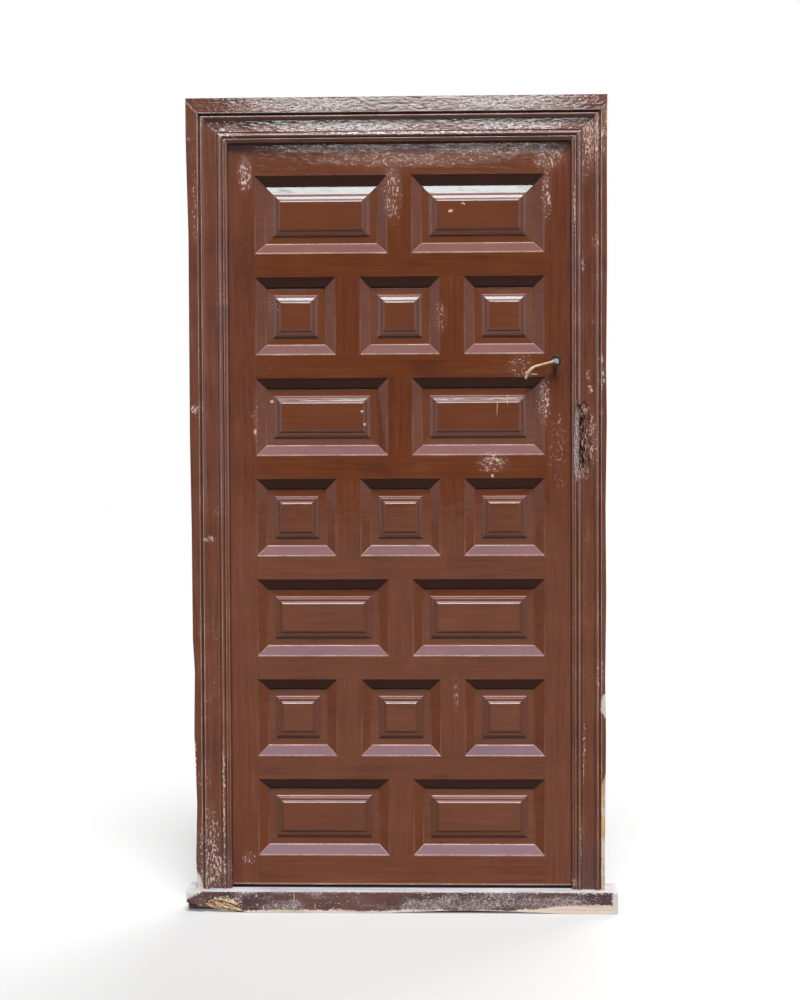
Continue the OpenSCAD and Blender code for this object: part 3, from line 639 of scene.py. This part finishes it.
class Coat:
    """A surface so far: its colour, its roughness and its height in millimetres."""

    def __init__(self, f, shade, rough, height):
        self.f, self.shade, self.rough, self.height = f, shade, rough, height
        self.worn = 0.0

    def lay(self, mask, shade, rough, height=None):
        self.shade = self.f.mix(self.shade, shade, mask)
        self.rough = self.rough + mask * (rough - self.rough)
        if height is not None:
            self.height = self.height + mask * height


def torn(f, t, grain, light, dark):
    """Broken wood along its grain: colour and fibres."""
    fibre = f.noise(t.at, 460.0, 4.0, 0.65, ALONG[grain])
    return f.mix(light, dark, (fibre + (t.drift - 0.5) * 0.3).ramp(0.38, 0.62)), fibre


def paint(name, grain, edges=None, arris=0.6, specks=0.3, streaks=0.3, scuffs=(), chips=(),
          scratches=(), more=None, brush=0.08, peel=1.0, shine=1.0, fleck=None):
    """Brown gloss paint on wood, brushed along the grain, rubbed at its edges and chipped.

    edges marks the arrises, and arris says how far they are rubbed; on the leaf the pale arrises are partly a
    painted highlight. specks and streaks are the strengths of loose flecks and brushed tones. scuffs, chips
    and scratches list places on the street side. brush is the height of brush marks in mm, peel and shine
    multiply the sidebar's values, fleck is the colour under the paint, on the head casing partly a painted
    glint, and more lays what one kind of piece has besides.
    """
    look = bpy.context.scene.door_finishes
    f = Finish(name)
    t = Texture(f, grain)
    tone = t.mottle * 0.5 + t.streak * 0.6
    shade = f.mix(tuple(look.paint), tuple(look.dark_paint_and_shade), tone.ramp(0.52, 0.75) * (0.4 + streaks))
    shade = f.mix(shade, tuple(look.paint_thin), tone.ramp(0.54, 0.36) * (0.2 + streaks))
    coat = Coat(f, shade, look.gloss + t.mottle * 0.05,
                t.streak * brush + t.wave * 0.24 + t.peel * (look.peel * peel))
    density = t.drift.ramp(0.5, 0.8) * specks
    street = t.y.ramp(*Layout.street_y)
    if scuffs:
        density = density.most(f.patches(t.moved, scuffs) * street)
    coat.lay(density.ramp(0.0, 0.6) * 0.22, Shade.scuffed, 0.25)
    worn = (t.chip + density * 0.17).ramp(0.665, 0.69) * density.ramp(0.03, 0.3)
    # Rubbed arrises; on the leaf the pale lines are partly a painted highlight, stronger where the arrises
    # face up
    if edges:
        rubbed = (t.drift * 0.9 + (t.flake - 0.5) * 0.8).ramp(0.75 - 0.5 * arris, 1.05 - 0.5 * arris)
        worn = worn.most(edges(f, t.at) * (0.45 + rubbed * 0.55) * arris)
    for spot in chips:
        near = f.patch(t.moved, spot)
        worn = worn.most((near + (t.flake - 0.5) * 1.2).ramp(0.25, 0.35) * near.ramp(0.0, 0.1) * street)
    for spot in scratches:
        worn = worn.most(f.patch(t.nudged, spot).ramp(0.1, 0.5) * street * 0.8)
    coat.lay(worn, fleck or tuple(look.undercoat), 0.6)
    coat.worn = worn
    if more:
        more(f, t, coat)
    return f.close(coat.shade, coat.rough, coat.height, specular=look.shine * shine)


def casing_grooves(axis):
    """Painted shade in the casing's grooves, and dark open mitres."""

    def lay(f, t, coat):
        look = bpy.context.scene.door_finishes
        across = across_casing(f, t.at, axis)
        other = across_casing(f, t.at, "Z" if axis == "X" else "X")
        dark = f.line(across - other, 0.0012)
        # Painted shade in the grooves
        for mark, width in GROOVES:
            dark = dark.most(f.line(across - mark, width) * 0.85)
        coat.lay(dark, tuple(look.grime_and_shade), 0.7)

    return lay


def head_casing_wear(f, t, coat):
    """Painted shade in the grooves, and the crack that runs from the left mitre."""
    look = bpy.context.scene.door_finishes
    casing_grooves("Z")(f, t, coat)
    for spot in HEAD_CRACKS:
        coat.lay(f.patch(t.nudged, spot).ramp(0.1, 0.5), tuple(look.grime_and_shade), 0.8)


def side_casing_wear(f, t, coat):
    """Painted shade in the grooves, bare wood where the casings are broken, lime at their outer edges, and
    the gouge with painted shadow in its deep rift.
    """
    look = bpy.context.scene.door_finishes
    casing_grooves("X")(f, t, coat)
    across = across_casing(f, t.at, "X")
    low = (t.z + (t.drift - 0.5) * 0.25 + t.x.ramp(-0.1, 0.1) * 0.04).ramp(0.30, 0.10)
    coat.lay(low * 0.65 * (1.0 - coat.worn), Shade.damp_paint, 0.4)
    wood, fibre = torn(f, t, "z", tuple(look.bare_wood), Shade.dark_fibre)
    broken = across.ramp(*Layout.broken_edge) * t.y.ramp(*Layout.broken_y)
    bare = broken.most((f.patches(t.moved, BARE_EDGES) + (t.flake - 0.5) * 0.8).ramp(0.25, 0.35))
    limed = f.mix(wood, tuple(look.lime), (t.drift + t.flake * 0.5).ramp(0.66, 0.9) * 0.8)
    coat.lay(bare, limed, 0.9, fibre * 0.8)
    near = (t.z - Gouge.middle_z).math("ABSOLUTE").ramp(*Gouge.half_z) * t.x.ramp(0.0, 0.1)
    inside = across.ramp(*Gouge.near) * across.ramp(*Gouge.far) * near
    shelf = inside * t.y.ramp(*Gouge.shelf_y)
    grit = t.flake + (fibre - 0.5) * 0.4
    strip = f.mix(Shade.strip_dark, Shade.strip_pale, grit.ramp(0.40, 0.52))
    strip = f.mix(strip, tuple(look.lime), grit.ramp(0.57, 0.63))
    tear = (fibre + (t.flake - 0.5) * 0.6).ramp(0.40, 0.60)
    inner = f.mix(Shade.torn_brown, Shade.torn_black, tear)
    behind = (across + (t.flake - 0.5) * 0.012).ramp(*Gouge.grey_strip)
    coat.lay(shelf, f.mix(strip, inner, behind), 0.9, fibre * 2.0)
    # The rift: dark torn wood mixed with painted shadow deep in the hole
    rift = fibre + (t.flake - 0.5) * 0.8 + across.ramp(0.033, 0.021) * 0.3
    deep = f.mix(Shade.rift_brown, Shade.rift_shadow, rift.ramp(0.45, 0.62))
    coat.lay(inside * t.y.ramp(*Gouge.rift_y), deep, 0.95)


def sill_finish():
    """Worn paint on the sill: trodden pale on top, bare along its foot, limed at its left end, with painted
    shadow deep in its broken end and on its top under the leaf.
    """
    look = bpy.context.scene.door_finishes
    f = Finish("sill_paint")
    t = Texture(f, "x")
    _, _, up = f.parts(f.node("ShaderNodeNewGeometry", out=1))
    crackle = f.node(
        "ShaderNodeTexVoronoi", {"feature": "DISTANCE_TO_EDGE"}, {"Vector": t.moved, "Scale": 75.0}
    )
    rub = f.noise(t.at, 210.0, 5.0, 0.75, (0.5, 1.0, 1.0))
    shade = f.mix(Shade.sill_red, Shade.sill_black, t.mottle.ramp(0.38, 0.62))
    coat = Coat(f, shade, 0.45 + t.mottle * 0.2, t.streak * 0.2 + t.wave * 0.3 + rub * 0.3)
    broad = f.noise(t.at, 17.0, 3.0, 0.55, (0.4, 1.0, 1.0))
    worn = (broad + (rub - 0.5) * 0.35).ramp(0.45, 0.66)
    coat.lay(worn * 0.8, f.mix(Shade.sill_grey, Shade.sill_rubbed, rub.ramp(0.4, 0.62)), 0.8)
    lines = crackle.ramp(0.045, 0.012) * (broad + t.flake * 0.5).ramp(0.74, 0.86)
    lip = t.z.ramp(*Sill.lip_z)
    end = t.x.ramp(*Sill.rubbed_end_x)
    specks = (t.flake + (t.drift - 0.5) * 0.5 + lip * 0.08 + end * 0.06).ramp(0.66, 0.69)
    scored = f.patches(t.nudged, SILL_SCRATCHES)
    coat.lay(lines.most(specks).most(scored) * 0.9, Shade.sill_scored, 0.8)
    foot = 0.008 + t.x.ramp(*Sill.bare_foot_x) * 0.016 + (t.drift - 0.5) * 0.016 + (t.flake - 0.5) * 0.016
    pale = f.mix(Shade.foot_pale, Shade.foot_brown, t.streak.ramp(0.45, 0.7))
    coat.lay((foot - t.z).ramp(-0.0012, 0.0012), pale, 0.9)
    wood, fibre = torn(f, t, "x", Shade.torn_sill, Shade.torn_sill_dark)
    rim = f.patch(t.moved, Sill.torn_end)
    street = t.y.ramp(*Sill.street_y)
    ragged = (rim + (t.flake - 0.5) * 2.2).ramp(0.40, 0.46) * rim.ramp(0.0, 0.1)
    coat.lay(ragged * street, Shade.torn_rim, 0.9)
    face = t.y.ramp(*Sill.break_y) * street * t.x.ramp(*Sill.break_x) * t.z.ramp(*Sill.break_z)
    coat.lay(face, wood, 0.9, fibre * 1.5)
    # Painted shadow deep in the break
    coat.lay(face * t.y.ramp(*Sill.hollow_y), Shade.hollow_shadow, 0.95)
    limed = (t.x * -1.0 + t.z * 1.6 + (t.drift - 0.5) * 0.08 + (t.flake - 0.5) * 0.05).ramp(0.632, 0.642)
    limed = limed.most((t.x + (t.drift - 0.5) * 0.05 + (t.flake - 0.5) * 0.03).ramp(0.562, 0.568))
    coat.lay(limed, tuple(look.lime), 0.9)
    trodden = (up + (t.flake - 0.5) * 0.8).ramp(0.45, 0.65)
    top = f.mix(Shade.trodden_dark, Shade.trodden_pale, (t.streak * 0.6 + t.mottle * 0.5).ramp(0.4, 0.7))
    coat.lay(trodden * (0.6 + (t.streak + t.drift * 0.6).ramp(0.45, 0.8) * 0.4), top, 0.7)
    # Painted shadow on the sill's top under the leaf
    under = t.y.ramp(*Sill.leaf_front_y) * t.y.ramp(*Sill.leaf_back_y) * t.z.ramp(*Sill.top_z)
    between = t.x.math("ABSOLUTE").ramp(Layout.sight_x + 0.004, Layout.sight_x)
    coat.lay(under * between, Shade.shadow_under_leaf, 0.95)
    return f.close(coat.shade, coat.rough, coat.height, specular=look.shine)


def dress(names, material):
    """Gives the named solids one finish."""
    for name in names:
        slots = NODES[name].data.materials
        slots.clear()
        slots.append(material)


def soften(names, width):
    """Rounds the sharp edges of the named solids."""
    for name in names:
        solid = NODES[name]
        weld = solid.modifiers.new("join", "WELD")
        weld.merge_threshold = 1e-5
        flat = solid.modifiers.new("flat", "DECIMATE")
        flat.decimate_type = "DISSOLVE"
        flat.angle_limit = math.radians(0.5)
        bevel = solid.modifiers.new("arris", "BEVEL")
        bevel.width = width
        bevel.segments = 2
        bevel.limit_method = "ANGLE"
        bevel.angle_limit = math.radians(25)
        bevel.harden_normals = True


def named(*starts):
    """Names of the solids that start with one of these words."""
    return [n for n in NODES if n.startswith(starts)]


class DOOR_OT_paint_leaf(Operator):
    """Paints the leaf's stiles, rails, muntins, panels and bevels"""

    bl_idname = "door.paint_leaf"
    bl_label = "Paint leaf"

    def execute(self, context):
        arris = context.scene.door_sizes.arris
        marks = dict(scuffs=LEAF_SCUFFS, chips=LEAF_CHIPS, scratches=LEAF_SCRATCHES)
        upright = paint(
            "leaf_paint_upright", "z", leaf_edges_and_highlights, arris=0.7, specks=0.2, **marks, more=handle_hole
        )
        level = paint("leaf_paint_level", "x", leaf_edges_and_highlights, arris=0.7, specks=0.2, **marks, brush=0.05)
        field = paint(
            "panel_paint", "x", panel_edges_and_highlights, arris=0.5, specks=0.15, streaks=0.2, **marks,
            more=panel_wear, peel=0.5, shine=1.1
        )
        bevel = paint(
            "bevel_paint", "x", bevel_edges_and_highlights, arris=0.95, specks=0.2, streaks=0.2, scuffs=LEAF_SCUFFS,
            more=under_bevels, shine=0.53
        )
        dress(named("hinge_stile", "latch_stile", "muntin"), upright)
        dress(named("top_rail", "rail_", "bottom_rail"), level)
        dress(named("panel_"), field)
        dress(["wide_bevels", "square_bevels"], bevel)
        soften(named("hinge_stile", "latch_stile", "muntin", "top_rail", "rail_", "bottom_rail"), arris)
        soften(["wide_bevels", "square_bevels"], arris)
        return {"FINISHED"}


class DOOR_OT_paint_frame(Operator):
    """Paints the casings, jambs and sill"""

    bl_idname = "door.paint_frame"
    bl_label = "Paint frame"

    def execute(self, context):
        arris = context.scene.door_sizes.arris
        upright = paint(
            "casing_paint_upright", "z", casing_edges("X"), arris=0.75, specks=0.4, streaks=0.6,
            scuffs=CASING_SCUFFS, more=side_casing_wear
        )
        # The head's pale flecks are partly painted glints
        level = paint(
            "casing_paint_level", "x", casing_edges("Z"), arris=0.85, specks=0.4, streaks=0.5,
            scuffs=HEAD_SCUFFS_AND_GLINTS, chips=HEAD_CHIPS, more=head_casing_wear,
            brush=0.10, peel=2.4, fleck=Shade.head_fleck_and_glint
        )
        jamb = paint("jamb_paint", "z")
        lintel = paint("head_jamb_paint", "x")
        dress(["left_casing", "right_casing"], upright)
        dress(["head_casing"], level)
        dress(["left_jamb", "right_jamb"], jamb)
        dress(["head_jamb"], lintel)
        dress(["sill"], sill_finish())
        soften(["left_casing", "right_casing", "head_casing"], arris)
        soften(["left_jamb", "right_jamb", "head_jamb", "sill"], arris)
        return {"FINISHED"}


def piece(name, bm, material, body):
    """Makes an object of a finished mesh, and says what it rides on and which finish it takes."""
    bmesh.ops.recalc_face_normals(bm, faces=bm.faces)
    mesh = bpy.data.meshes.new(name)
    bm.to_mesh(mesh)
    bm.free()
    made = bpy.data.objects.new(name, mesh)
    bpy.context.collection.objects.link(made)
    made.data.materials.append(material)
    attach(made, body)


def sliver(bm, start, along, lift, reach, width, thick, curl):
    """Adds one torn fibre: a three-sided spike that thins and curls towards its tip."""
    side = along.cross(lift).normalized()
    rings = []
    for t in (0.0, 0.35, 0.7, 1.0):
        taper = 1.0 - 0.93 * t ** 1.4
        middle = start + along * (reach * t) + lift * (curl * t * t)
        rings.append([bm.verts.new(middle + side * (0.5 * width * taper)),
                      bm.verts.new(middle - side * (0.5 * width * taper)),
                      bm.verts.new(middle + lift * (thick * taper))])
    for low, high in zip(rings, rings[1:]):
        for i in range(3):
            j = (i + 1) % 3
            bm.faces.new((low[i], low[j], high[j], high[i]))
    bm.faces.new(rings[0])
    bm.faces.new(reversed(rings[-1]))


def splinter_finish(name, grain, light, dark):
    """Torn fibres, paint still on some of them."""
    look = bpy.context.scene.door_finishes
    f = Finish(name)
    t = Texture(f, grain)
    wood, fibre = torn(f, t, grain, light, dark)
    coat = Coat(f, wood, 0.85, fibre * 0.4)
    coat.lay(f.noise(t.at, 90.0, 2.0).ramp(0.54, 0.60) * 0.85, tuple(look.paint), 0.4)
    return f.close(coat.shade, coat.rough, coat.height, specular=look.shine)


class DOOR_OT_splinters(Operator):
    """Adds the torn fibres of the broken casing and sill"""

    bl_idname = "door.splinters"
    bl_label = "Splinters"

    # Where the gouge's fibres stand: across from the inner edge, up from its middle, how many
    TUFTS = (
        ((0.024, 0.046), (0.066, 0.100), 26), ((0.034, 0.052), (-0.030, 0.060), 40),
        ((0.016, 0.044), (-0.104, -0.066), 44), ((0.010, 0.020), (-0.085, 0.090), 14),
        ((0.022, 0.040), (-0.070, 0.070), 24),
    )
    TUFT_Y = -0.0085

    def execute(self, context):
        self.gouge()
        self.foot()
        return {"FINISHED"}

    def gouge(self):
        rng = random.Random(11)
        bm = bmesh.new()
        forward = Vector((0.0, -1.0, 0.0))
        for (near, far), (low, high), count in self.TUFTS:
            for _ in range(count):
                x = Layout.sight_x + rng.uniform(near, far)
                start = Vector((x, self.TUFT_Y, Gouge.middle_z + rng.uniform(low, high)))
                lean = Vector((rng.uniform(-0.5, 0.5), 0.0, rng.choice((-1.0, 1.0)))).normalized()
                reach = rng.uniform(0.006, 0.026)
                width = rng.uniform(0.0010, 0.0028)
                thick = rng.uniform(0.0008, 0.0020)
                sliver(bm, start, lean, forward, reach, width, thick, curl=rng.uniform(0.001, 0.008))
        finish = splinter_finish("torn_casing", "z", Shade.casing_splinter, Shade.casing_splinter_dark)
        piece("gouge_splinters", bm, finish, "frame")

    def foot(self):
        rng = random.Random(5)
        bm = bmesh.new()
        forward = Vector((0.0, -1.0, 0.0))
        low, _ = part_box("sill")
        # The break starts near the sill's left end and falls towards its foot. Fibres start sunk behind
        # the sill's front, and their tips stay clear of the floor
        inset, run, top, fall = 0.046, 0.095, 0.044, 0.030
        sunk, clear = 0.0045, 0.001
        for _ in range(95):
            part = rng.random()
            x = low[0] + inset + run * part
            z = top - fall * part + rng.uniform(-0.020, 0.004)
            along = Vector((1.0, 0.0, rng.uniform(-0.9, 0.1))).normalized()
            reach = rng.uniform(0.012, 0.040)
            width = rng.uniform(0.0010, 0.0022)
            thick = rng.uniform(0.0010, 0.0020)
            if z + along.z * reach > clear:
                start = Vector((x, low[1] + sunk, z))
                sliver(bm, start, along, forward, reach, width, thick, curl=rng.uniform(0.003, 0.007))
        finish = splinter_finish("torn_sill", "x", Shade.sill_splinter, Shade.sill_splinter_dark)
        piece("sill_splinters", bm, finish, "frame")


def screw_head(bm, centre, facing, turn, radius):
    """Adds a slotted countersunk head: two half discs with a slot between them, over a sunk floor."""
    face = Vector(facing)
    side = face.orthogonal().normalized()
    side = Matrix.Rotation(turn, 3, face) @ side
    over = face.cross(side)
    slot, proud, sunk, thick = radius * 0.14, 0.0004, 0.0006, 0.0004
    steps, sides = 10, 16
    start = math.acos(slot / radius)
    arc = [start - 2.0 * start * i / steps for i in range(steps + 1)]
    rim = [(radius * math.cos(a), radius * math.sin(a)) for a in arc]
    for sign in (1.0, -1.0):
        tops, feet = [], []
        for u, v in rim:
            place = centre + side * (u * sign) + over * (v * sign)
            crown = proud * (1.0 - 0.5 * (u * u + v * v) / radius ** 2)
            tops.append(bm.verts.new(place + face * crown))
            feet.append(bm.verts.new(place - face * sunk))
        bm.faces.new(tops)
        bm.faces.new(reversed(feet))
        for i in range(len(tops)):
            j = (i + 1) % len(tops)
            bm.faces.new((tops[i], feet[i], feet[j], tops[j]))
    ring = [centre - face * sunk + side * (radius * math.cos(a)) + over * (radius * math.sin(a))
            for a in (2 * math.pi * i / sides for i in range(sides))]
    low = [bm.verts.new(p) for p in ring]
    deep = [bm.verts.new(p - face * thick) for p in ring]
    bm.faces.new(low)
    bm.faces.new(reversed(deep))
    for i in range(sides):
        j = (i + 1) % sides
        bm.faces.new((low[i], deep[i], deep[j], low[j]))


class DOOR_OT_screws(Operator):
    """Adds the screw heads of hinges, forend and strike plate"""

    bl_idname = "door.screws"
    bl_label = "Screws"

    # Holes of a hinge plate: part of its height, and depth from the leaf's back
    HINGE_HOLES = ((0.13, 0.011), (0.36, 0.020), (0.64, 0.020), (0.87, 0.011))
    # From the ends of forend and strike plate to their screws
    PLATE_INSET = 0.009

    def execute(self, context):
        radius = context.scene.door_sizes.screw_head
        steel = bpy.data.materials["grey_steel"]
        rng = random.Random(3)
        hinges = (
            ("hinge_jamb_plates", "frame", (1, 0, 0), -Layout.jamb_face),
            ("hinge_leaf_plates", "leaf", (-1, 0, 0), -Layout.leaf_edge),
        )
        for node, body, facing, plane in hinges:
            bm = bmesh.new()
            for foot in Layout.hinge_feet:
                for part, depth in self.HINGE_HOLES:
                    centre = Vector((plane, Layout.back_y - depth, foot + part * Layout.hinge_h))
                    screw_head(bm, centre, facing, rng.uniform(0, math.pi), radius)
            piece(node.replace("plates", "screws"), bm, steel, body)
        plates = (("lock_forend", "leaf", (1, 0, 0)), ("strike_plate", "frame", (-1, 0, 0)))
        for node, body, facing in plates:
            low, high = (Vector(c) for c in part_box(node))
            plane = high.x if facing[0] > 0 else low.x
            bm = bmesh.new()
            for z in (low.z + self.PLATE_INSET, high.z - self.PLATE_INSET):
                centre = Vector((plane, (low.y + high.y) / 2, z))
                screw_head(bm, centre, facing, rng.uniform(0, math.pi), radius)
            piece(node.split("_")[0] + "_screws", bm, steel, body)
        return {"FINISHED"}


class DOOR_OT_finish_metal(Operator):
    """Finishes the levers, spindle, hinges and lock"""

    bl_idname = "door.finish_metal"
    bl_label = "Finish metal"

    def execute(self, context):
        look = context.scene.door_finishes
        f = Finish("worn_brass")
        at = f.place()
        stain = f.noise(at, 160.0, 4.0, 0.6)
        shade = f.mix(tuple(look.brass), Shade.brass_stain, stain.ramp(0.45, 0.7) * 0.7)
        hub = f.patch(at, (*HANDLE, 0.020, 0.020)).ramp(0.5, 0.58)
        brass = f.close(f.mix(shade, tuple(look.steel), hub), 0.45 + stain * 0.2, stain * 0.08, specular=0.25)
        f = Finish("grey_steel")
        stain = f.noise(f.place(), 220.0, 4.0, 0.6)
        steel = f.close(
            f.mix(tuple(look.steel), Shade.rust, stain.ramp(0.45, 0.65) * 0.7), 0.5 + stain * 0.25,
            stain * 0.1, metal=0.25, specular=0.25
        )
        dress(["outer_lever", "inner_lever"], brass)
        dress(named("hinge_jamb", "hinge_leaf", "hinge_pins"), steel)
        dress(named("lock_", "follower", "latch_bolt", "strike", "spindle"), steel)
        return {"FINISHED"}


class DOOR_OT_stage(Operator):
    """Sets up floor, lamps, background and camera"""

    bl_idname = "door.stage"
    bl_label = "Studio"

    # What mirrors see of the sky: height, from 0 at the horizon to 1 overhead, and colour
    SKY = (
        (0.00, (0.006, 0.006, 0.006)),
        (0.204, (0.006, 0.006, 0.006)),
        (0.219, (0.26, 0.30, 0.31)),
        (0.234, (0.80, 0.97, 1.0)),
        (0.42, (0.80, 0.90, 0.95)),
        (0.56, (0.45, 0.50, 0.565)),
        (0.656, (0.174, 0.226, 0.313)),
        (0.743, (0.157, 0.183, 0.244)),
        (0.82, (0.157, 0.174, 0.218)),
        (0.90, (0.139, 0.148, 0.165)),
    )

    def execute(self, context):
        scene = context.scene
        studio = scene.door_studio
        self.floor(studio)
        self.world(scene, studio)
        self.lamp("key_lamp", studio.key, azimuth=8.0, elevation=60.0, spread=24.0)
        self.lamp("back_lamp", studio.back, azimuth=155.0, elevation=45.0, spread=40.0)
        self.camera(scene, studio)
        scene.view_settings.view_transform = "Standard"
        return {"FINISHED"}

    def floor(self, studio):
        bpy.ops.mesh.primitive_circle_add(vertices=96, radius=30.0, fill_type="NGON")
        floor = bpy.context.object
        floor.name = "floor"
        f = Finish("pale_floor")
        seen = self.seen(f)
        shade = f.mix(Shade.floor_bounce, tuple(studio.floor), seen)
        matt = f.node("ShaderNodeBsdfDiffuse", None, {"Color": shade})
        lift = f.node("ShaderNodeEmission", None, {"Color": (1.0, 1.0, 1.0, 1.0), "Strength": seen * 0.2})
        both = f.node("ShaderNodeAddShader", None, {0: matt, 1: lift})
        f.node("ShaderNodeOutputMaterial", None, {0: both})
        floor.data.materials.append(f.material)

    def seen(self, f):
        """1 for what the camera, a mirror or glass sees."""
        return f.ray("Camera").most(f.ray("Glossy")).most(f.ray("Transmission"))

    def world(self, scene, studio):
        scene.world = bpy.data.worlds.new("studio")
        scene.world.use_nodes = True
        f = Finish("studio", scene.world.node_tree)
        way = f.node("ShaderNodeTexCoord", out="Generated")
        across, depth, height = f.parts(way)
        panel = f.node("ShaderNodeValToRGB", {"stops": self.SKY}, {0: height})
        glossy = f.ray("Glossy")
        behind = depth.ramp(-0.05, 0.15)
        white = f.node("ShaderNodeBackground", None, {"Color": (1.0, 1.0, 1.0, 1.0), "Strength": 1.0})
        street = across.ramp(0.55, 0.8) * height.ramp(-0.05, 0.1) * height.ramp(0.3, 0.15)
        panel = f.mix(panel, Shade.street, street)
        aside = (across + 0.02).math("ABSOLUTE")
        beside = aside.ramp(0.098, 0.112)
        shade = f.mix(Shade.beside_near, Shade.beside_far, aside.ramp(0.4, 0.6))
        panel = f.mix(panel, shade, beside * height.ramp(0.6, 0.4))
        front = f.node("ShaderNodeBackground", None, {"Color": panel, "Strength": studio.sky})
        fill = f.node("ShaderNodeBackground", None, {"Color": (1.0, 1.0, 1.0, 1.0), "Strength": studio.fill})
        mirrored = f.node("ShaderNodeMixShader", None, {0: glossy * (1.0 - behind), 1: fill, 2: front})
        shown = f.ray("Camera").most(f.ray("Transmission")).most(glossy * behind)
        whole = f.node("ShaderNodeMixShader", None, {0: shown, 1: mirrored, 2: white})
        f.node("ShaderNodeOutputWorld", None, {0: whole})

    def lamp(self, name, strength, azimuth, elevation, spread):
        lamp = bpy.data.lights.new(name, "SUN")
        lamp.energy = strength
        lamp.angle = math.radians(spread)
        holder = bpy.data.objects.new(name, lamp)
        a, e = math.radians(azimuth), math.radians(elevation)
        towards = Vector((math.sin(a) * math.cos(e), -math.cos(a) * math.cos(e), math.sin(e)))
        holder.rotation_euler = towards.to_track_quat("Z", "Y").to_euler()
        holder.location = towards * 6.0
        holder.visible_glossy = False
        bpy.context.collection.objects.link(holder)

    def camera(self, scene, studio):
        data = bpy.data.cameras.new("camera")
        data.sensor_width = 36.0
        data.sensor_fit = "AUTO"
        data.lens = studio.lens
        data.clip_end = 200.0
        holder = bpy.data.objects.new("camera", data)
        yaw, pitch, roll = studio.camera_turn
        ahead = Vector((math.sin(yaw) * math.cos(pitch), math.cos(yaw) * math.cos(pitch), -math.sin(pitch)))
        level = Vector((math.cos(yaw), -math.sin(yaw), 0.0))
        upright = level.cross(ahead)
        right = math.cos(roll) * level + math.sin(roll) * upright
        up = -math.sin(roll) * level + math.cos(roll) * upright
        turn = Matrix((right, up, -ahead)).transposed()
        holder.matrix_world = Matrix.Translation(studio.camera_place) @ turn.to_4x4()
        bpy.context.collection.objects.link(holder)
        scene.camera = holder


class DOOR_PT_sidebar(Panel):
    """Steps, sizes and colours of the door"""

    bl_idname = "DOOR_PT_sidebar"
    bl_label = "Panelled door"
    bl_space_type = "VIEW_3D"
    bl_region_type = "UI"
    bl_category = "Door"

    def draw(self, context):
        for step in STEPS:
            self.layout.operator(step.bl_idname)
        for group in (context.scene.door_finishes, context.scene.door_sizes, context.scene.door_studio):
            box = self.layout.box()
            for key in group.__annotations__:
                box.prop(group, key)


STEPS = (
    DOOR_OT_paint_leaf, DOOR_OT_paint_frame, DOOR_OT_finish_metal,
    DOOR_OT_splinters, DOOR_OT_screws, DOOR_OT_stage,
)
GROUPS = {"door_finishes": DoorFinishes, "door_sizes": DoorSizes, "door_studio": DoorStudio}


def register():
    for made in (*GROUPS.values(), *STEPS, DOOR_PT_sidebar):
        bpy.utils.register_class(made)
    for key, group in GROUPS.items():
        setattr(bpy.types.Scene, key, PointerProperty(type=group))


def unregister():
    for key in GROUPS:
        delattr(bpy.types.Scene, key)
    for made in (DOOR_PT_sidebar, *reversed(STEPS), *GROUPS.values()):
        bpy.utils.unregister_class(made)


def main():
    register()
    for step in STEPS:
        group, name = step.bl_idname.split(".")
        getattr(getattr(bpy.ops, group), name)()


if __name__ == "__main__":
    main()
